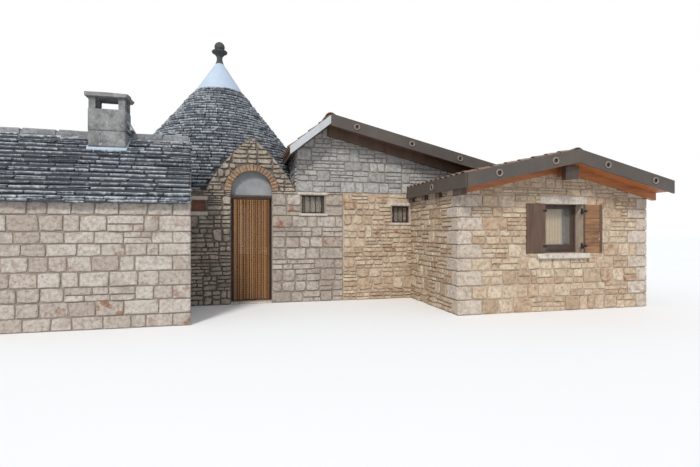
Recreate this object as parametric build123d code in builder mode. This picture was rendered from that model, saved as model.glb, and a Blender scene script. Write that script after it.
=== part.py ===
# Trullo house: a dry-stone round room under a slab cone, a kitchen wing with a
# slab roof and chimney, and a low rubble house with a tiled wing on the right.
# Millimetres, +Z up, +X along the front to the right, +Y into the house.
# The origin is on the cone's axis at ground level.
import os
from math import acos, atan, cos, degrees, hypot, pi, radians, sin

from build123d import *

os.makedirs("parts", exist_ok=True)

# Round room
DRUM_R = 2600.0
DRUM_WALL = 700.0
DRUM_H = 2280.0
EAVE_OUT = 140.0
EAVE_EDGE = 60.0
CONE_TOP_R = 580.0
CONE_H = 2750.0
CONE_COURSES = 36
COURSE_CHORD = 800.0
COURSE_LEAST = 6
TIP_TOP_R = 100.0
TIP_H = 760.0
TIP_LAP = 30.0
TIP_SIDES = 28
DOME_H = 2350.0
DOME_RINGS = 8
DOME_POWER = 1.6
FLOOR_T = 50.0

# Pinnacle on the white tip
STEM_R = 75.0
STEM_H = 240.0
CUP_R = 200.0
CUP_T = 40.0
BALL_R = 130.0
BALL_CUT = 36.0
BALL_BANDS = 6
PINNACLE_SIDES = 16

# Front wall and entrance
FRONT_COVER = 160.0
FRONT_Y = -DRUM_R - FRONT_COVER
FRONT_WALL = 500.0
DOOR_SET = 2260.0
DOOR_X = DRUM_R - DOOR_SET
DOOR_W = 810.0
DOOR_HEAD = DRUM_H - 120.0
TRANSOM_H = 40.0
PASSAGE_SIDE = 100.0
THRESHOLD_H = 40.0
THRESHOLD_OUT = 30.0
ARCH_RING = 130.0
ARCH_RING_OUT = 20.0
ARCH_RECESS = 160.0
TYMPANUM_T = 60.0
GABLE_HALF = 900.0
GABLE_H = 1070.0
GABLE_TIP_HALF = 110.0
GABLE_TIP_DROP = 60.0
GABLE_SWELL = 60.0
SADDLE_DROP = 60.0

# Small hatch high in the wall beside the kitchen wing
HATCH = (DOOR_X - 770.0, DRUM_H - 420.0, 280.0, 220.0)
HATCH_DEPTH = 110.0
HATCH_FRAME = 35.0

# Door, hung inside the jambs, and the bead curtain in front of it
FRAME_W = 45.0
FRAME_DEPTH = 70.0
FRAME_SET = 230.0
LEAF_T = 45.0
LEAF_GAP = 5.0
LEAF_STILE = 95.0
LEAF_LOCK_Z = 900.0
PANEL_T = 18.0
PANE_T = 6.0
HANDLE_Z = 1050.0
ROSE_L = 152.0
ROSE_W = 36.0
ROSE_T = 6.0
NECK_R = 9.0
NECK_L = 34.0
LEVER_L = 120.0
LEVER_H = 18.0
LEVER_T = 14.0
HINGE_LEVELS = (300.0, 1800.0)
HINGE_OUT = 18.0
PIN_R = 7.0
PIN_H = 45.0
PIN_GAP = 0.3
EYE_R = 12.0
EYE_H = 40.0
BASE_H = 25.0
PLATE_H = 80.0
PLATE_T = 5.0
STRAP_L = 220.0
STRAP_H = 30.0
STRAP_T = 8.0
CURTAIN_SET = 90.0
CURTAIN_T = 12.0
CURTAIN_CLEAR = 25.0
RAIL_H = 30.0

# Kitchen wing on the left
WING_X = -3600.0
WING_CORNER_X = -250.0
WING_STEP = 1870.0
WING_FRONT_Y = FRONT_Y - WING_STEP
WING_WALL = 550.0
WING_SKEW = 0.1
WING_HALF = 1460.0
WING_RIDGE_Y = WING_FRONT_Y + WING_HALF
WING_RIDGE_Z = DRUM_H + 870.0
WING_PITCH = 0.765
WING_EAVE_OUT = 120.0
WING_SLAB = 130.0
WING_EAVE_SLAB = 58.0
WING_ROWS = 24
WING_CAP_W = 220.0
WING_CAP_H = 65.0

# Chimney over the kitchen ridge
STACK_X = -1990.0
STACK_W = 570.0
STACK_FRONT_Y = WING_RIDGE_Y - 370.0
STACK_DEPTH = 370.0
STACK_WALL = 105.0
STACK_TOP_Z = WING_RIDGE_Z + 620.0
VENT_H = 205.0
CAP_T = 85.0
CAP_OUT = 65.0
CAP_CROWN = 25.0
FILLET_W = 45.0
FILLET_H = 80.0

# Main house behind the front wall
HOUSE_LAP = 950.0
HOUSE_X = DRUM_R - HOUSE_LAP
HOUSE_RIGHT_X = 8200.0
HOUSE_BACK_Y = 1700.0
HOUSE_WALL = 450.0
HOUSE_RIDGE_X = 2300.0
HOUSE_RIDGE_Z = DRUM_H + 1535.0
LEFT_PITCH = 0.80
RIGHT_PITCH = 0.238
ROOF_T = 160.0
TILE_SET = 90.0
TILE_BACK = 30.0
TILE_SINK = 30.0
TILE_R = 80.0
TILE_PITCH = 205.0
RIDGE_TILE_R = 110.0
TILE_SIDES = 8
VERGE_OUT = 400.0
EAVE_OVER = 150.0
FASCIA_T = 30.0
FASCIA_UP = 30.0
FASCIA_H = 240.0
HOUSE_RAFTER_H = 190.0
RAFTER_T = 100.0

# Tiled wing on the right
ROOM_X = 4200.0
ROOM_FRONT_Y = -4940.0
ROOM_RIDGE_X = 6260.0
ROOM_PITCH = 0.223
ROOM_VERGE = 450.0
ROOM_EAVE = 90.0
ROOM_RAFTER_H = 150.0
BEAM_W = 150.0
BEAM_H = 180.0
TAIL_W = 110.0
TAIL_H = 110.0
TAIL_FIRST = 620.0
TAIL_PITCH = 660.0
TAILS = 3

# Passages through the drum
KITCHEN_PASS_X = -1700.0
KITCHEN_PASS_W = 850.0
KITCHEN_PASS_H = DRUM_H - 380.0
HOUSE_PASS_W = 900.0
HOUSE_PASS_H = DRUM_H - 280.0

# Front wall to the right of the door
PIER_END = 2640.0

# Windows: left, sill height, width, height
ROOM_WINDOW = (5930.0, 1060.0, 830.0, 910.0)
BARRED_WINDOW = (ROOM_X - 460.0, DRUM_H - 624.0, 410.0, 365.0)
PIER_WINDOW = (HOUSE_X + 110.0, DRUM_H - 440.0, 480.0, 380.0)
WINDOW_SET = 190.0
SMALL_SET = 60.0
WINDOW_BAR = 55.0
WINDOW_DEPTH = 60.0
GLASS_T = 6.0
SILL_T = 70.0
SILL_OUT = 60.0
SILL_END = 90.0
LINTEL_H = 140.0
STONE_DEPTH = 180.0
SHUTTER_W = 410.0
SHUTTER_T = 35.0

# Sizes that follow from the ones above
DRUM_IN = DRUM_R - DRUM_WALL
DRUM_MID = DRUM_R - DRUM_WALL / 2
EAVE_R = DRUM_R + EAVE_OUT
CONE_TOP_Z = DRUM_H + CONE_H
COURSE_H = (CONE_H - EAVE_EDGE) / CONE_COURSES
RING_H = DOME_H / DOME_RINGS
DOOR_X1 = DOOR_X + DOOR_W
DOOR_MID = DOOR_X + DOOR_W / 2
ARCH_R = DOOR_W / 2
FRONT_BACK = FRONT_Y + FRONT_WALL
ROOM_FRONT_IN = ROOM_FRONT_Y + HOUSE_WALL
HOUSE_TOP = HOUSE_BACK_Y + VERGE_OUT
VERGE_Y = FRONT_Y - VERGE_OUT
ROOM_VERGE_Y = ROOM_FRONT_Y - ROOM_VERGE
EAVE_X = HOUSE_RIGHT_X + EAVE_OVER
ROOM_EAVE_X = ROOM_X - ROOM_EAVE
LEFT_EAVE_X = HOUSE_X - EAVE_OVER
HOUSE_IN_X = HOUSE_RIGHT_X - HOUSE_WALL
HOUSE_IN_Y = HOUSE_BACK_Y - HOUSE_WALL


def facade(y):
    """Upright plane at y, drawn in x and z, with its outside towards -Y."""
    return Plane.XZ.offset(-y)


def section(x):
    """Upright plane at x, drawn in y and z."""
    return Plane.YZ.offset(x)


def cone_radius(z):
    """Outer radius of the slab cone at height z."""
    rise = (z - DRUM_H - EAVE_EDGE) / (CONE_TOP_Z - DRUM_H - EAVE_EDGE)
    return EAVE_R + (CONE_TOP_R - EAVE_R) * rise


def dome_radius(rise):
    """Inner radius of the corbelled vault at a share of its height."""
    return DRUM_IN * (1 - rise**DOME_POWER)


def house_top(x):
    """Roof line of the main house at x, on either slope, just over its tiles."""
    if x < HOUSE_RIDGE_X:
        return HOUSE_RIDGE_Z - LEFT_PITCH * (HOUSE_RIDGE_X - x)
    return HOUSE_RIDGE_Z - RIGHT_PITCH * (x - HOUSE_RIDGE_X)


ROOM_RIDGE_Z = house_top(ROOM_RIDGE_X)
RAFTER_END_X = ROOM_RIDGE_X - ROOF_T / (RIGHT_PITCH + ROOM_PITCH)


def room_top(x):
    """Roof line of the tiled wing at x, on either slope, just over its tiles."""
    if x < ROOM_RIDGE_X:
        return ROOM_RIDGE_Z - ROOM_PITCH * (ROOM_RIDGE_X - x)
    return house_top(x)


def kitchen_top(y):
    """Roof line of the kitchen at y, on either slope, along the edges of its slab rows."""
    return WING_RIDGE_Z - WING_PITCH * abs(y - WING_RIDGE_Y)


def slope_band(top, x0, x1, up, down):
    """Corners of a band that follows a roof line, up above it and down below it."""
    return [(x0, top(x0) - down), (x1, top(x1) - down), (x1, top(x1) + up), (x0, top(x0) + up)]


def course_sides(radius):
    """Number of flat stretches in a ring of slabs."""
    return round(2 * pi * radius / COURSE_CHORD) + COURSE_LEAST


def polygon_taper(low_r, high_r, height, sides):
    """Taper in degrees that brings a polygon's corners from low_r to high_r over a height."""
    return degrees(atan((low_r - high_r) * cos(pi / sides) / height))


def slab_profile(direction):
    """Section of one kitchen roof slope, stepped by its slab rows, towards -Y or +Y."""
    half = WING_HALF + WING_EAVE_OUT
    eave_y = WING_RIDGE_Y + direction * half
    wall_y = WING_RIDGE_Y + direction * WING_HALF
    points = [(WING_RIDGE_Y, WING_RIDGE_Z - WING_SLAB)]
    for row in range(WING_ROWS):
        y_in = WING_RIDGE_Y + direction * half * row / WING_ROWS
        y_out = WING_RIDGE_Y + direction * half * (row + 1) / WING_ROWS
        points += [(y_in, kitchen_top(y_out)), (y_out, kitchen_top(y_out))]
    points += [(eave_y, kitchen_top(eave_y) - WING_EAVE_SLAB), (wall_y, kitchen_top(wall_y) - WING_SLAB)]
    return points


def tile_ribs(top, x0, x1, y0, y1):
    """Rows of barrel tiles down a slope from x0 to x1, drawn across it between y0 and y1."""
    fall = (top(x0) - top(x1)) / abs(x1 - x0)
    side = 1 if x1 > x0 else -1
    down = (side * cos(atan(fall)), 0, -sin(atan(fall)))
    rows = int((y1 - y0) / TILE_PITCH)
    start_x = x0 + side * TILE_BACK
    plane = Plane((start_x, (y0 + y1) / 2, top(start_x) - TILE_SET), x_dir=(0, side, 0), z_dir=down)
    with BuildSketch(plane) as ends:
        with GridLocations((y1 - y0) / rows, 0, rows, 1):
            RegularPolygon(TILE_R, TILE_SIDES, rotation=180 / TILE_SIDES)
        with Locations((0, -TILE_R - TILE_SINK)):
            Rectangle(2 * (y1 - y0), 2 * TILE_R, mode=Mode.SUBTRACT)
    return ends.sketch


def ridge_tile(x, y, z):
    """End of the row of ridge tiles over a ridge at x and z."""
    with BuildSketch(facade(y)) as end:
        with Locations((x, z - TILE_SET)):
            RegularPolygon(RIDGE_TILE_R, TILE_SIDES, rotation=180 / TILE_SIDES)
        with Locations((x, z - TILE_SET - TILE_SINK - RIDGE_TILE_R)):
            Rectangle(2 * RIDGE_TILE_R, 2 * RIDGE_TILE_R, mode=Mode.SUBTRACT)
    return end.sketch


def tile_run(top, x0, x1):
    """Length of the tile rows down a slope from x0 to x1, short of the ridge and the eave."""
    return hypot(x1 - x0, top(x0) - top(x1)) - 2 * TILE_BACK


def gable_face(y, drop):
    """Face of the entrance gable on the upright plane at y, lowered by drop."""
    half = GABLE_HALF - drop
    peak = DRUM_H + GABLE_H - drop
    shoulder = peak - GABLE_TIP_DROP
    foot_l = (DOOR_MID - half, DRUM_H)
    foot_r = (DOOR_MID + half, DRUM_H)
    tip_l = (DOOR_MID - GABLE_TIP_HALF, shoulder)
    tip_r = (DOOR_MID + GABLE_TIP_HALF, shoulder)
    mid_x = (half + GABLE_TIP_HALF) / 2 + GABLE_SWELL
    mid_z = (DRUM_H + shoulder) / 2 + GABLE_SWELL / 2
    with BuildSketch(facade(y)) as face:
        with BuildLine():
            ThreePointArc(foot_l, (DOOR_MID - mid_x, mid_z), tip_l)
            ThreePointArc(tip_l, (DOOR_MID, peak), tip_r)
            ThreePointArc(tip_r, (DOOR_MID + mid_x, mid_z), foot_r)
            Line(foot_r, foot_l)
        make_face()
    return face.sketch


def opening_face(window, y):
    """Face of a window's opening on the upright plane at y."""
    x, z, wide, high = window
    with BuildSketch(facade(y)) as face:
        with Locations((x + wide / 2, z + high / 2)):
            Rectangle(wide, high)
    return face.sketch


def sill_face(window, y):
    """Face of the stone under a window, on the upright plane at y."""
    x, z, wide, _ = window
    with BuildSketch(facade(y)) as face:
        with Locations((x + wide / 2, z - SILL_T / 2)):
            Rectangle(wide + 2 * SILL_END, SILL_T)
    return face.sketch


def lintel_face(window, y):
    """Face of the stone over a window, on the upright plane at y."""
    x, z, wide, high = window
    with BuildSketch(facade(y)) as face:
        with Locations((x + wide / 2, z + high + LINTEL_H / 2)):
            Rectangle(wide + 2 * SILL_END, LINTEL_H)
    return face.sketch


def frame_face(window, y, bars):
    """Face of a window frame on the upright plane at y, with upright bars."""
    x, z, wide, high = window
    with BuildSketch(facade(y)) as face:
        with Locations((x + wide / 2, z + high / 2)):
            Rectangle(wide, high)
            Rectangle(wide - 2 * WINDOW_BAR, high - 2 * WINDOW_BAR, mode=Mode.SUBTRACT)
            if bars:
                with GridLocations((wide - WINDOW_BAR) / (bars + 1), 0, bars, 1):
                    Rectangle(WINDOW_BAR / 3, high - WINDOW_BAR)
    return face.sketch


# The round room's solid envelope, which the lower roofs are cut against
with BuildPart() as drum_envelope:
    with BuildSketch(Plane.XY):
        Circle(DRUM_R)
    extrude(amount=DRUM_H)

with BuildPart() as cone_envelope:
    with BuildSketch(Plane.XZ):
        Polygon(
            (0, DRUM_H),
            (EAVE_R, DRUM_H),
            (EAVE_R, DRUM_H + EAVE_EDGE),
            (CONE_TOP_R, CONE_TOP_Z),
            (0, CONE_TOP_Z),
            align=None,
        )
    revolve(axis=Axis.Z)

# Passages through the drum, as plan rectangles: left, front, width, depth, head
ENTRY_PASS = (DOOR_X - PASSAGE_SIDE, -DRUM_R, DOOR_W + 2 * PASSAGE_SIDE, DRUM_R, DOOR_HEAD)
KITCHEN_PASS = (KITCHEN_PASS_X, -DRUM_R, KITCHEN_PASS_W, DRUM_R, KITCHEN_PASS_H)
HOUSE_PASS = (0.0, -HOUSE_PASS_W / 2, DRUM_R, HOUSE_PASS_W, HOUSE_PASS_H)
PASSAGES = (ENTRY_PASS, KITCHEN_PASS, HOUSE_PASS)


def drum_section(angle):
    """Section of the drum's wall on the upright plane through the axis at an angle."""
    turn = radians(angle)
    plane = Plane((0, 0, 0), x_dir=(cos(turn), sin(turn), 0), z_dir=(sin(turn), -cos(turn), 0))
    with BuildSketch(plane) as face:
        with Locations((DRUM_MID, DRUM_H / 2)):
            Rectangle(DRUM_WALL, DRUM_H)
    return face.sketch


def passage_plan():
    """Plan of the three passages through the drum."""
    with BuildSketch(Plane.XY) as plan:
        for left, front, wide, deep, _ in PASSAGES:
            with Locations((left + wide / 2, front + deep / 2)):
                Rectangle(wide, deep)
    return plan.sketch


def passage_floor():
    """Plan of the passages, as far as the drum's outer face."""
    with BuildSketch(Plane.XY) as plan:
        add(passage_plan())
        Circle(DRUM_R, mode=Mode.INTERSECT)
    return plan.sketch


def front_angle(x):
    """Angle from +X, in degrees, at which the front of the drum's wall passes x."""
    return 360 - degrees(acos(x / DRUM_MID))


ENTRY_ANGLE = front_angle(DOOR_MID)
KITCHEN_ANGLE = front_angle(KITCHEN_PASS_X + KITCHEN_PASS_W / 2)

# Drum wall, in four lengths between the passages
with BuildPart() as drum_wall_front:
    revolve(drum_section(KITCHEN_ANGLE), axis=Axis.Z, revolution_arc=ENTRY_ANGLE - KITCHEN_ANGLE)
    extrude(passage_plan(), amount=DRUM_H, mode=Mode.SUBTRACT)

with BuildPart() as drum_wall_right:
    revolve(drum_section(ENTRY_ANGLE), axis=Axis.Z, revolution_arc=360 - ENTRY_ANGLE)
    extrude(passage_plan(), amount=DRUM_H, mode=Mode.SUBTRACT)

with BuildPart() as drum_wall_back:
    revolve(drum_section(0), axis=Axis.Z, revolution_arc=KITCHEN_ANGLE / 2)
    extrude(passage_plan(), amount=DRUM_H, mode=Mode.SUBTRACT)

with BuildPart() as drum_wall_left:
    revolve(drum_section(KITCHEN_ANGLE / 2), axis=Axis.Z, revolution_arc=KITCHEN_ANGLE / 2)
    extrude(passage_plan(), amount=DRUM_H, mode=Mode.SUBTRACT)

# Stone lintels over the three passages
with BuildPart() as drum_lintels:
    for left, front, wide, deep, head in PASSAGES:
        with BuildSketch(Plane.XY.offset(head)):
            Circle(DRUM_R)
            Circle(DRUM_IN, mode=Mode.SUBTRACT)
            with Locations((left + wide / 2, front + deep / 2)):
                Rectangle(wide, deep, mode=Mode.INTERSECT)
        extrude(amount=DRUM_H - head)

# Slab cone in stepped courses, over a vault whose rings reach further in as they rise
with BuildPart() as cone_roof:
    with BuildSketch(Plane.XY.offset(DRUM_H)):
        RegularPolygon(EAVE_R, course_sides(EAVE_R))
    extrude(amount=EAVE_EDGE)
    for course in range(CONE_COURSES):
        course_z = DRUM_H + EAVE_EDGE + course * COURSE_H
        course_r = cone_radius(course_z + COURSE_H)
        half_turn = 180 / course_sides(course_r) * (course % 2)
        with BuildSketch(Plane.XY.offset(course_z)):
            RegularPolygon(course_r, course_sides(course_r), rotation=half_turn)
        extrude(amount=COURSE_H)
    for ring in range(DOME_RINGS):
        ring_r = dome_radius(ring / DOME_RINGS)
        with BuildSketch(Plane.XY.offset(DRUM_H + ring * RING_H)):
            RegularPolygon(ring_r, course_sides(ring_r))
        extrude(amount=RING_H, mode=Mode.SUBTRACT)
    extrude(gable_face(FRONT_Y - FRONT_WALL, 0), amount=-2 * FRONT_WALL, mode=Mode.SUBTRACT)

# White lime tip, plastered in flat strokes from its foot to its top
with BuildPart() as white_tip:
    with BuildSketch(Plane.XY.offset(CONE_TOP_Z)):
        RegularPolygon(CONE_TOP_R + TIP_LAP, TIP_SIDES)
    extrude(amount=TIP_H, taper=polygon_taper(CONE_TOP_R + TIP_LAP, TIP_TOP_R, TIP_H, TIP_SIDES))

# Carved stone pinnacle: stem, flared cup and ball, as levels of height and radius
foot_z = CONE_TOP_Z + TIP_H
stem_z = foot_z + STEM_H
cup_z = stem_z + (CUP_R - STEM_R) / 2
ball_z = cup_z + CUP_T + BALL_R * cos(radians(BALL_CUT))
pinnacle_levels = [(foot_z, TIP_TOP_R), (stem_z, STEM_R), (cup_z, CUP_R), (cup_z + CUP_T, CUP_R)]
for band in range(BALL_BANDS):
    tilt = radians((180 - BALL_CUT) * (1 - band / BALL_BANDS))
    pinnacle_levels.append((ball_z + BALL_R * cos(tilt), BALL_R * sin(tilt)))
pinnacle_levels.append((ball_z + BALL_R, BALL_R * sin(radians(BALL_CUT)) / 2))

with BuildPart() as pinnacle:
    for (low_z, low_r), (high_z, high_r) in zip(pinnacle_levels, pinnacle_levels[1:]):
        if high_z > low_z:
            wide_r, thin_r = max(low_r, high_r), min(low_r, high_r)
            with BuildSketch(Plane.XY.offset(low_z)):
                RegularPolygon(wide_r, PINNACLE_SIDES)
            slope = polygon_taper(wide_r, thin_r, high_z - low_z, PINNACLE_SIDES)
            level = extrude(amount=high_z - low_z, taper=slope, mode=Mode.PRIVATE)
            if high_r > low_r:
                level = mirror(level, about=Plane.XY.offset((low_z + high_z) / 2), mode=Mode.PRIVATE)
            add(level)

# Wall to the left of the door, with a niche for the hatch
KITCHEN_IN_X = WING_CORNER_X - WING_WALL - WING_SKEW * (FRONT_Y - WING_FRONT_Y)
with BuildPart() as entrance_wall:
    with BuildSketch(Plane.XY):
        with Locations(((KITCHEN_IN_X + DOOR_X) / 2, FRONT_Y + FRONT_WALL / 2)):
            Rectangle(DOOR_X - KITCHEN_IN_X, FRONT_WALL)
    extrude(amount=DRUM_H)
    extrude(opening_face(HATCH, FRONT_Y), amount=-HATCH_DEPTH, mode=Mode.SUBTRACT)
    add(drum_envelope.part, mode=Mode.SUBTRACT)

# Timber hatch with its frame, closing the niche
with BuildPart() as hatch:
    hatch_x, hatch_z, hatch_w, hatch_h = HATCH
    extrude(opening_face(HATCH, FRONT_Y + HATCH_DEPTH / 2), amount=-HATCH_DEPTH / 2)
    with BuildSketch(facade(FRONT_Y + HATCH_DEPTH / 2)):
        with Locations((hatch_x + hatch_w / 2, hatch_z + hatch_h / 2)):
            Rectangle(hatch_w - 2 * HATCH_FRAME, hatch_h - 2 * HATCH_FRAME)
    extrude(amount=-HATCH_FRAME / 2, mode=Mode.SUBTRACT)

# Rubble gable over the door
with BuildPart() as entrance_gable:
    extrude(gable_face(FRONT_Y, 0), amount=-FRONT_WALL)
    with BuildSketch(facade(FRONT_Y)):
        with Locations((DOOR_MID, DRUM_H)):
            Circle(ARCH_R + ARCH_RING)
    extrude(amount=-ARCH_RECESS, mode=Mode.SUBTRACT)

# Ring of arch stones, a little proud of the gable
with BuildPart() as arch_ring:
    with BuildSketch(facade(FRONT_Y - ARCH_RING_OUT)):
        with Locations((DOOR_MID, DRUM_H)):
            Circle(ARCH_R + ARCH_RING)
            Circle(ARCH_R, mode=Mode.SUBTRACT)
        with Locations((DOOR_MID, DRUM_H - DRUM_R)):
            Rectangle(2 * DRUM_R, 2 * DRUM_R, mode=Mode.SUBTRACT)
    extrude(amount=-(ARCH_RECESS + ARCH_RING_OUT))

# Plain stone filling the arch above the timber transom
with BuildPart() as tympanum:
    tympanum_y = FRONT_Y + ARCH_RECESS - TYMPANUM_T
    with BuildSketch(facade(tympanum_y)):
        with Locations((DOOR_MID, DRUM_H)):
            Circle(ARCH_R)
        with Locations((DOOR_MID, DRUM_H - DRUM_R)):
            Rectangle(2 * DRUM_R, 2 * DRUM_R, mode=Mode.SUBTRACT)
        with Locations((DOOR_MID, (DOOR_HEAD + TRANSOM_H + DRUM_H) / 2)):
            Rectangle(DOOR_W, DRUM_H - DOOR_HEAD - TRANSOM_H)
    extrude(amount=-TYMPANUM_T)

# Saddle of masonry from the gable back to the cone
with BuildPart() as entrance_saddle:
    extrude(gable_face(FRONT_BACK, SADDLE_DROP), amount=FRONT_BACK)
    add(cone_envelope.part, mode=Mode.SUBTRACT)

# Worn stone threshold
with BuildPart() as threshold:
    with BuildSketch(Plane.XY):
        with Locations((DOOR_MID, FRONT_Y + (FRONT_WALL - THRESHOLD_OUT) / 2)):
            Rectangle(DOOR_W, FRONT_WALL + THRESHOLD_OUT)
    extrude(amount=THRESHOLD_H)

# Door frame: two posts, a head and the transom over them
frame_y = FRONT_Y + FRAME_SET
with BuildPart() as door_frame:
    with BuildSketch(facade(frame_y)):
        with Locations((DOOR_MID, (THRESHOLD_H + DOOR_HEAD) / 2)):
            Rectangle(DOOR_W, DOOR_HEAD - THRESHOLD_H)
        with Locations((DOOR_MID, (THRESHOLD_H + DOOR_HEAD - FRAME_W) / 2)):
            Rectangle(DOOR_W - 2 * FRAME_W, DOOR_HEAD - FRAME_W - THRESHOLD_H, mode=Mode.SUBTRACT)
    extrude(amount=-FRAME_DEPTH)
    with BuildSketch(facade(FRONT_Y + TYMPANUM_T)):
        with Locations((DOOR_MID, DOOR_HEAD + TRANSOM_H / 2)):
            Rectangle(DOOR_W, TRANSOM_H)
    extrude(amount=-(ARCH_RECESS - TYMPANUM_T))

# Door leaf: stiles and rails, glazed above a boarded panel
leaf_y = frame_y + FRAME_DEPTH - LEAF_T
leaf_w = DOOR_W - 2 * FRAME_W - 2 * LEAF_GAP
leaf_z = THRESHOLD_H + 2 * LEAF_GAP
leaf_h = DOOR_HEAD - FRAME_W - LEAF_GAP - leaf_z
pane_w = leaf_w - 2 * LEAF_STILE
pane_z = LEAF_LOCK_Z + LEAF_STILE
pane_h = leaf_z + leaf_h - LEAF_STILE - pane_z
panel_z = leaf_z + 2 * LEAF_STILE
panel_h = LEAF_LOCK_Z - panel_z
with BuildPart() as door_leaf:
    with BuildSketch(facade(leaf_y)):
        with Locations((DOOR_MID, leaf_z + leaf_h / 2)):
            Rectangle(leaf_w, leaf_h)
        with Locations((DOOR_MID, pane_z + pane_h / 2)):
            Rectangle(pane_w, pane_h, mode=Mode.SUBTRACT)
        with Locations((DOOR_MID, panel_z + panel_h / 2)):
            Rectangle(pane_w, panel_h, mode=Mode.SUBTRACT)
    extrude(amount=-LEAF_T)
    with BuildSketch(facade(leaf_y + (LEAF_T - PANEL_T) / 2)):
        with Locations((DOOR_MID, panel_z + panel_h / 2)):
            Rectangle(pane_w, panel_h)
    extrude(amount=-PANEL_T)

with BuildPart() as door_glass:
    with BuildSketch(facade(leaf_y + (LEAF_T - PANE_T) / 2)):
        with Locations((DOOR_MID, pane_z + pane_h / 2)):
            Rectangle(pane_w, pane_h)
    extrude(amount=-PANE_T)

# Pintles on the left post, each with a plate, a base and an upright pin
hinge_x = DOOR_X + FRAME_W + LEAF_GAP / 2
hinge_y = leaf_y + LEAF_T + HINGE_OUT
with BuildPart() as door_pintles:
    for level in HINGE_LEVELS:
        with BuildSketch(facade(leaf_y + LEAF_T)):
            with Locations((DOOR_X + FRAME_W / 2, level)):
                Rectangle(FRAME_W - 2 * LEAF_GAP, PLATE_H)
        extrude(amount=-PLATE_T)
        with BuildSketch(Plane.XY.offset(level - BASE_H)):
            with Locations((hinge_x, hinge_y)):
                Circle(EYE_R)
            with Locations((DOOR_X + FRAME_W / 2 + EYE_R, hinge_y - HINGE_OUT / 2)):
                Rectangle(FRAME_W - 2 * EYE_R, HINGE_OUT)
        extrude(amount=BASE_H)
        with BuildSketch(Plane.XY.offset(level)):
            with Locations((hinge_x, hinge_y)):
                Circle(PIN_R)
        extrude(amount=PIN_H)

# Strap hinges on the leaf, their eyes over the pins
with BuildPart() as door_straps:
    for level in HINGE_LEVELS:
        with BuildSketch(Plane.XY.offset(level + PIN_GAP)):
            with Locations((hinge_x, hinge_y)):
                Circle(EYE_R)
        extrude(amount=EYE_H)
        with BuildSketch(Plane.XY.offset(level + (EYE_H - STRAP_H) / 2)):
            with Locations((hinge_x + STRAP_L / 2, hinge_y - HINGE_OUT + STRAP_T / 2)):
                Rectangle(STRAP_L, STRAP_T)
        extrude(amount=STRAP_H)
        with BuildSketch(Plane.XY.offset(level)):
            with Locations((hinge_x, hinge_y)):
                Circle(PIN_R + PIN_GAP)
        extrude(amount=EYE_H + BASE_H, mode=Mode.SUBTRACT)

# Lever handle on both faces of the leaf
with BuildPart() as door_handle:
    lever_x = DOOR_MID + leaf_w / 2 - LEAF_STILE / 2
    for face_y, out in ((leaf_y, 1), (leaf_y + LEAF_T, -1)):
        with BuildSketch(facade(face_y)):
            with Locations((lever_x, HANDLE_Z)):
                Rectangle(ROSE_W, ROSE_L)
        extrude(amount=out * ROSE_T)
        with BuildSketch(facade(face_y - out * ROSE_T)):
            with Locations((lever_x, HANDLE_Z)):
                Circle(NECK_R)
        extrude(amount=out * NECK_L)
        with BuildSketch(facade(face_y - out * (NECK_L - ROSE_T))):
            with Locations((lever_x - LEVER_L / 2 + NECK_R, HANDLE_Z)):
                Rectangle(LEVER_L, LEVER_H)
        extrude(amount=out * LEVER_T)

# Bead curtain hanging from its rail, as one thin sheet
with BuildPart() as bead_curtain:
    curtain_y = FRONT_Y + CURTAIN_SET
    curtain_z = THRESHOLD_H + CURTAIN_CLEAR
    with BuildSketch(facade(curtain_y)):
        with Locations((DOOR_MID, (curtain_z + DOOR_HEAD) / 2)):
            Rectangle(DOOR_W - 2 * CURTAIN_CLEAR, DOOR_HEAD - curtain_z)
    extrude(amount=-CURTAIN_T)
    with BuildSketch(facade(curtain_y - CURTAIN_T)):
        with Locations((DOOR_MID, DOOR_HEAD - RAIL_H / 2)):
            Rectangle(DOOR_W, RAIL_H)
    extrude(amount=-3 * CURTAIN_T)

# Kitchen wing walls
kitchen_back_y = 2 * WING_RIDGE_Y - WING_FRONT_Y
kitchen_eave_z = kitchen_top(WING_FRONT_Y) - WING_SLAB


def skew_x(y):
    """Outer x of the kitchen's right side at y; the side leans in plan."""
    return WING_CORNER_X - WING_SKEW * (y - WING_FRONT_Y)


def beyond_right_side():
    """Plan of all that lies beyond the kitchen's leaning right side."""
    reach = 2 * WING_WALL
    with BuildSketch(Plane.XY) as plan:
        Polygon(
            (skew_x(WING_FRONT_Y - reach), WING_FRONT_Y - reach),
            (skew_x(WING_FRONT_Y - reach) + 2 * reach, WING_FRONT_Y - reach),
            (skew_x(0) + 2 * reach, 0),
            (skew_x(0), 0),
            align=None,
        )
    return plan.sketch


with BuildPart() as kitchen_front_wall:
    with BuildSketch(section(WING_X)):
        Polygon(
            (WING_FRONT_Y, 0),
            (WING_FRONT_Y + WING_WALL, 0),
            (WING_FRONT_Y + WING_WALL, kitchen_top(WING_FRONT_Y + WING_WALL) - WING_SLAB),
            (WING_FRONT_Y, kitchen_eave_z),
            align=None,
        )
    extrude(amount=WING_CORNER_X - WING_X)
    extrude(beyond_right_side(), amount=WING_RIDGE_Z + WING_CAP_H, mode=Mode.SUBTRACT)

with BuildPart() as kitchen_right_wall:
    with BuildSketch(section(KITCHEN_IN_X)):
        Polygon(
            (WING_FRONT_Y + WING_WALL, 0),
            (FRONT_Y, 0),
            (FRONT_Y, kitchen_top(FRONT_Y) - WING_SLAB),
            (WING_RIDGE_Y, WING_RIDGE_Z - WING_SLAB),
            (WING_FRONT_Y + WING_WALL, kitchen_top(WING_FRONT_Y + WING_WALL) - WING_SLAB),
            align=None,
        )
    extrude(amount=WING_CORNER_X - KITCHEN_IN_X)
    extrude(beyond_right_side(), amount=WING_RIDGE_Z + WING_CAP_H, mode=Mode.SUBTRACT)
    add(cone_envelope.part, mode=Mode.SUBTRACT)

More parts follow.
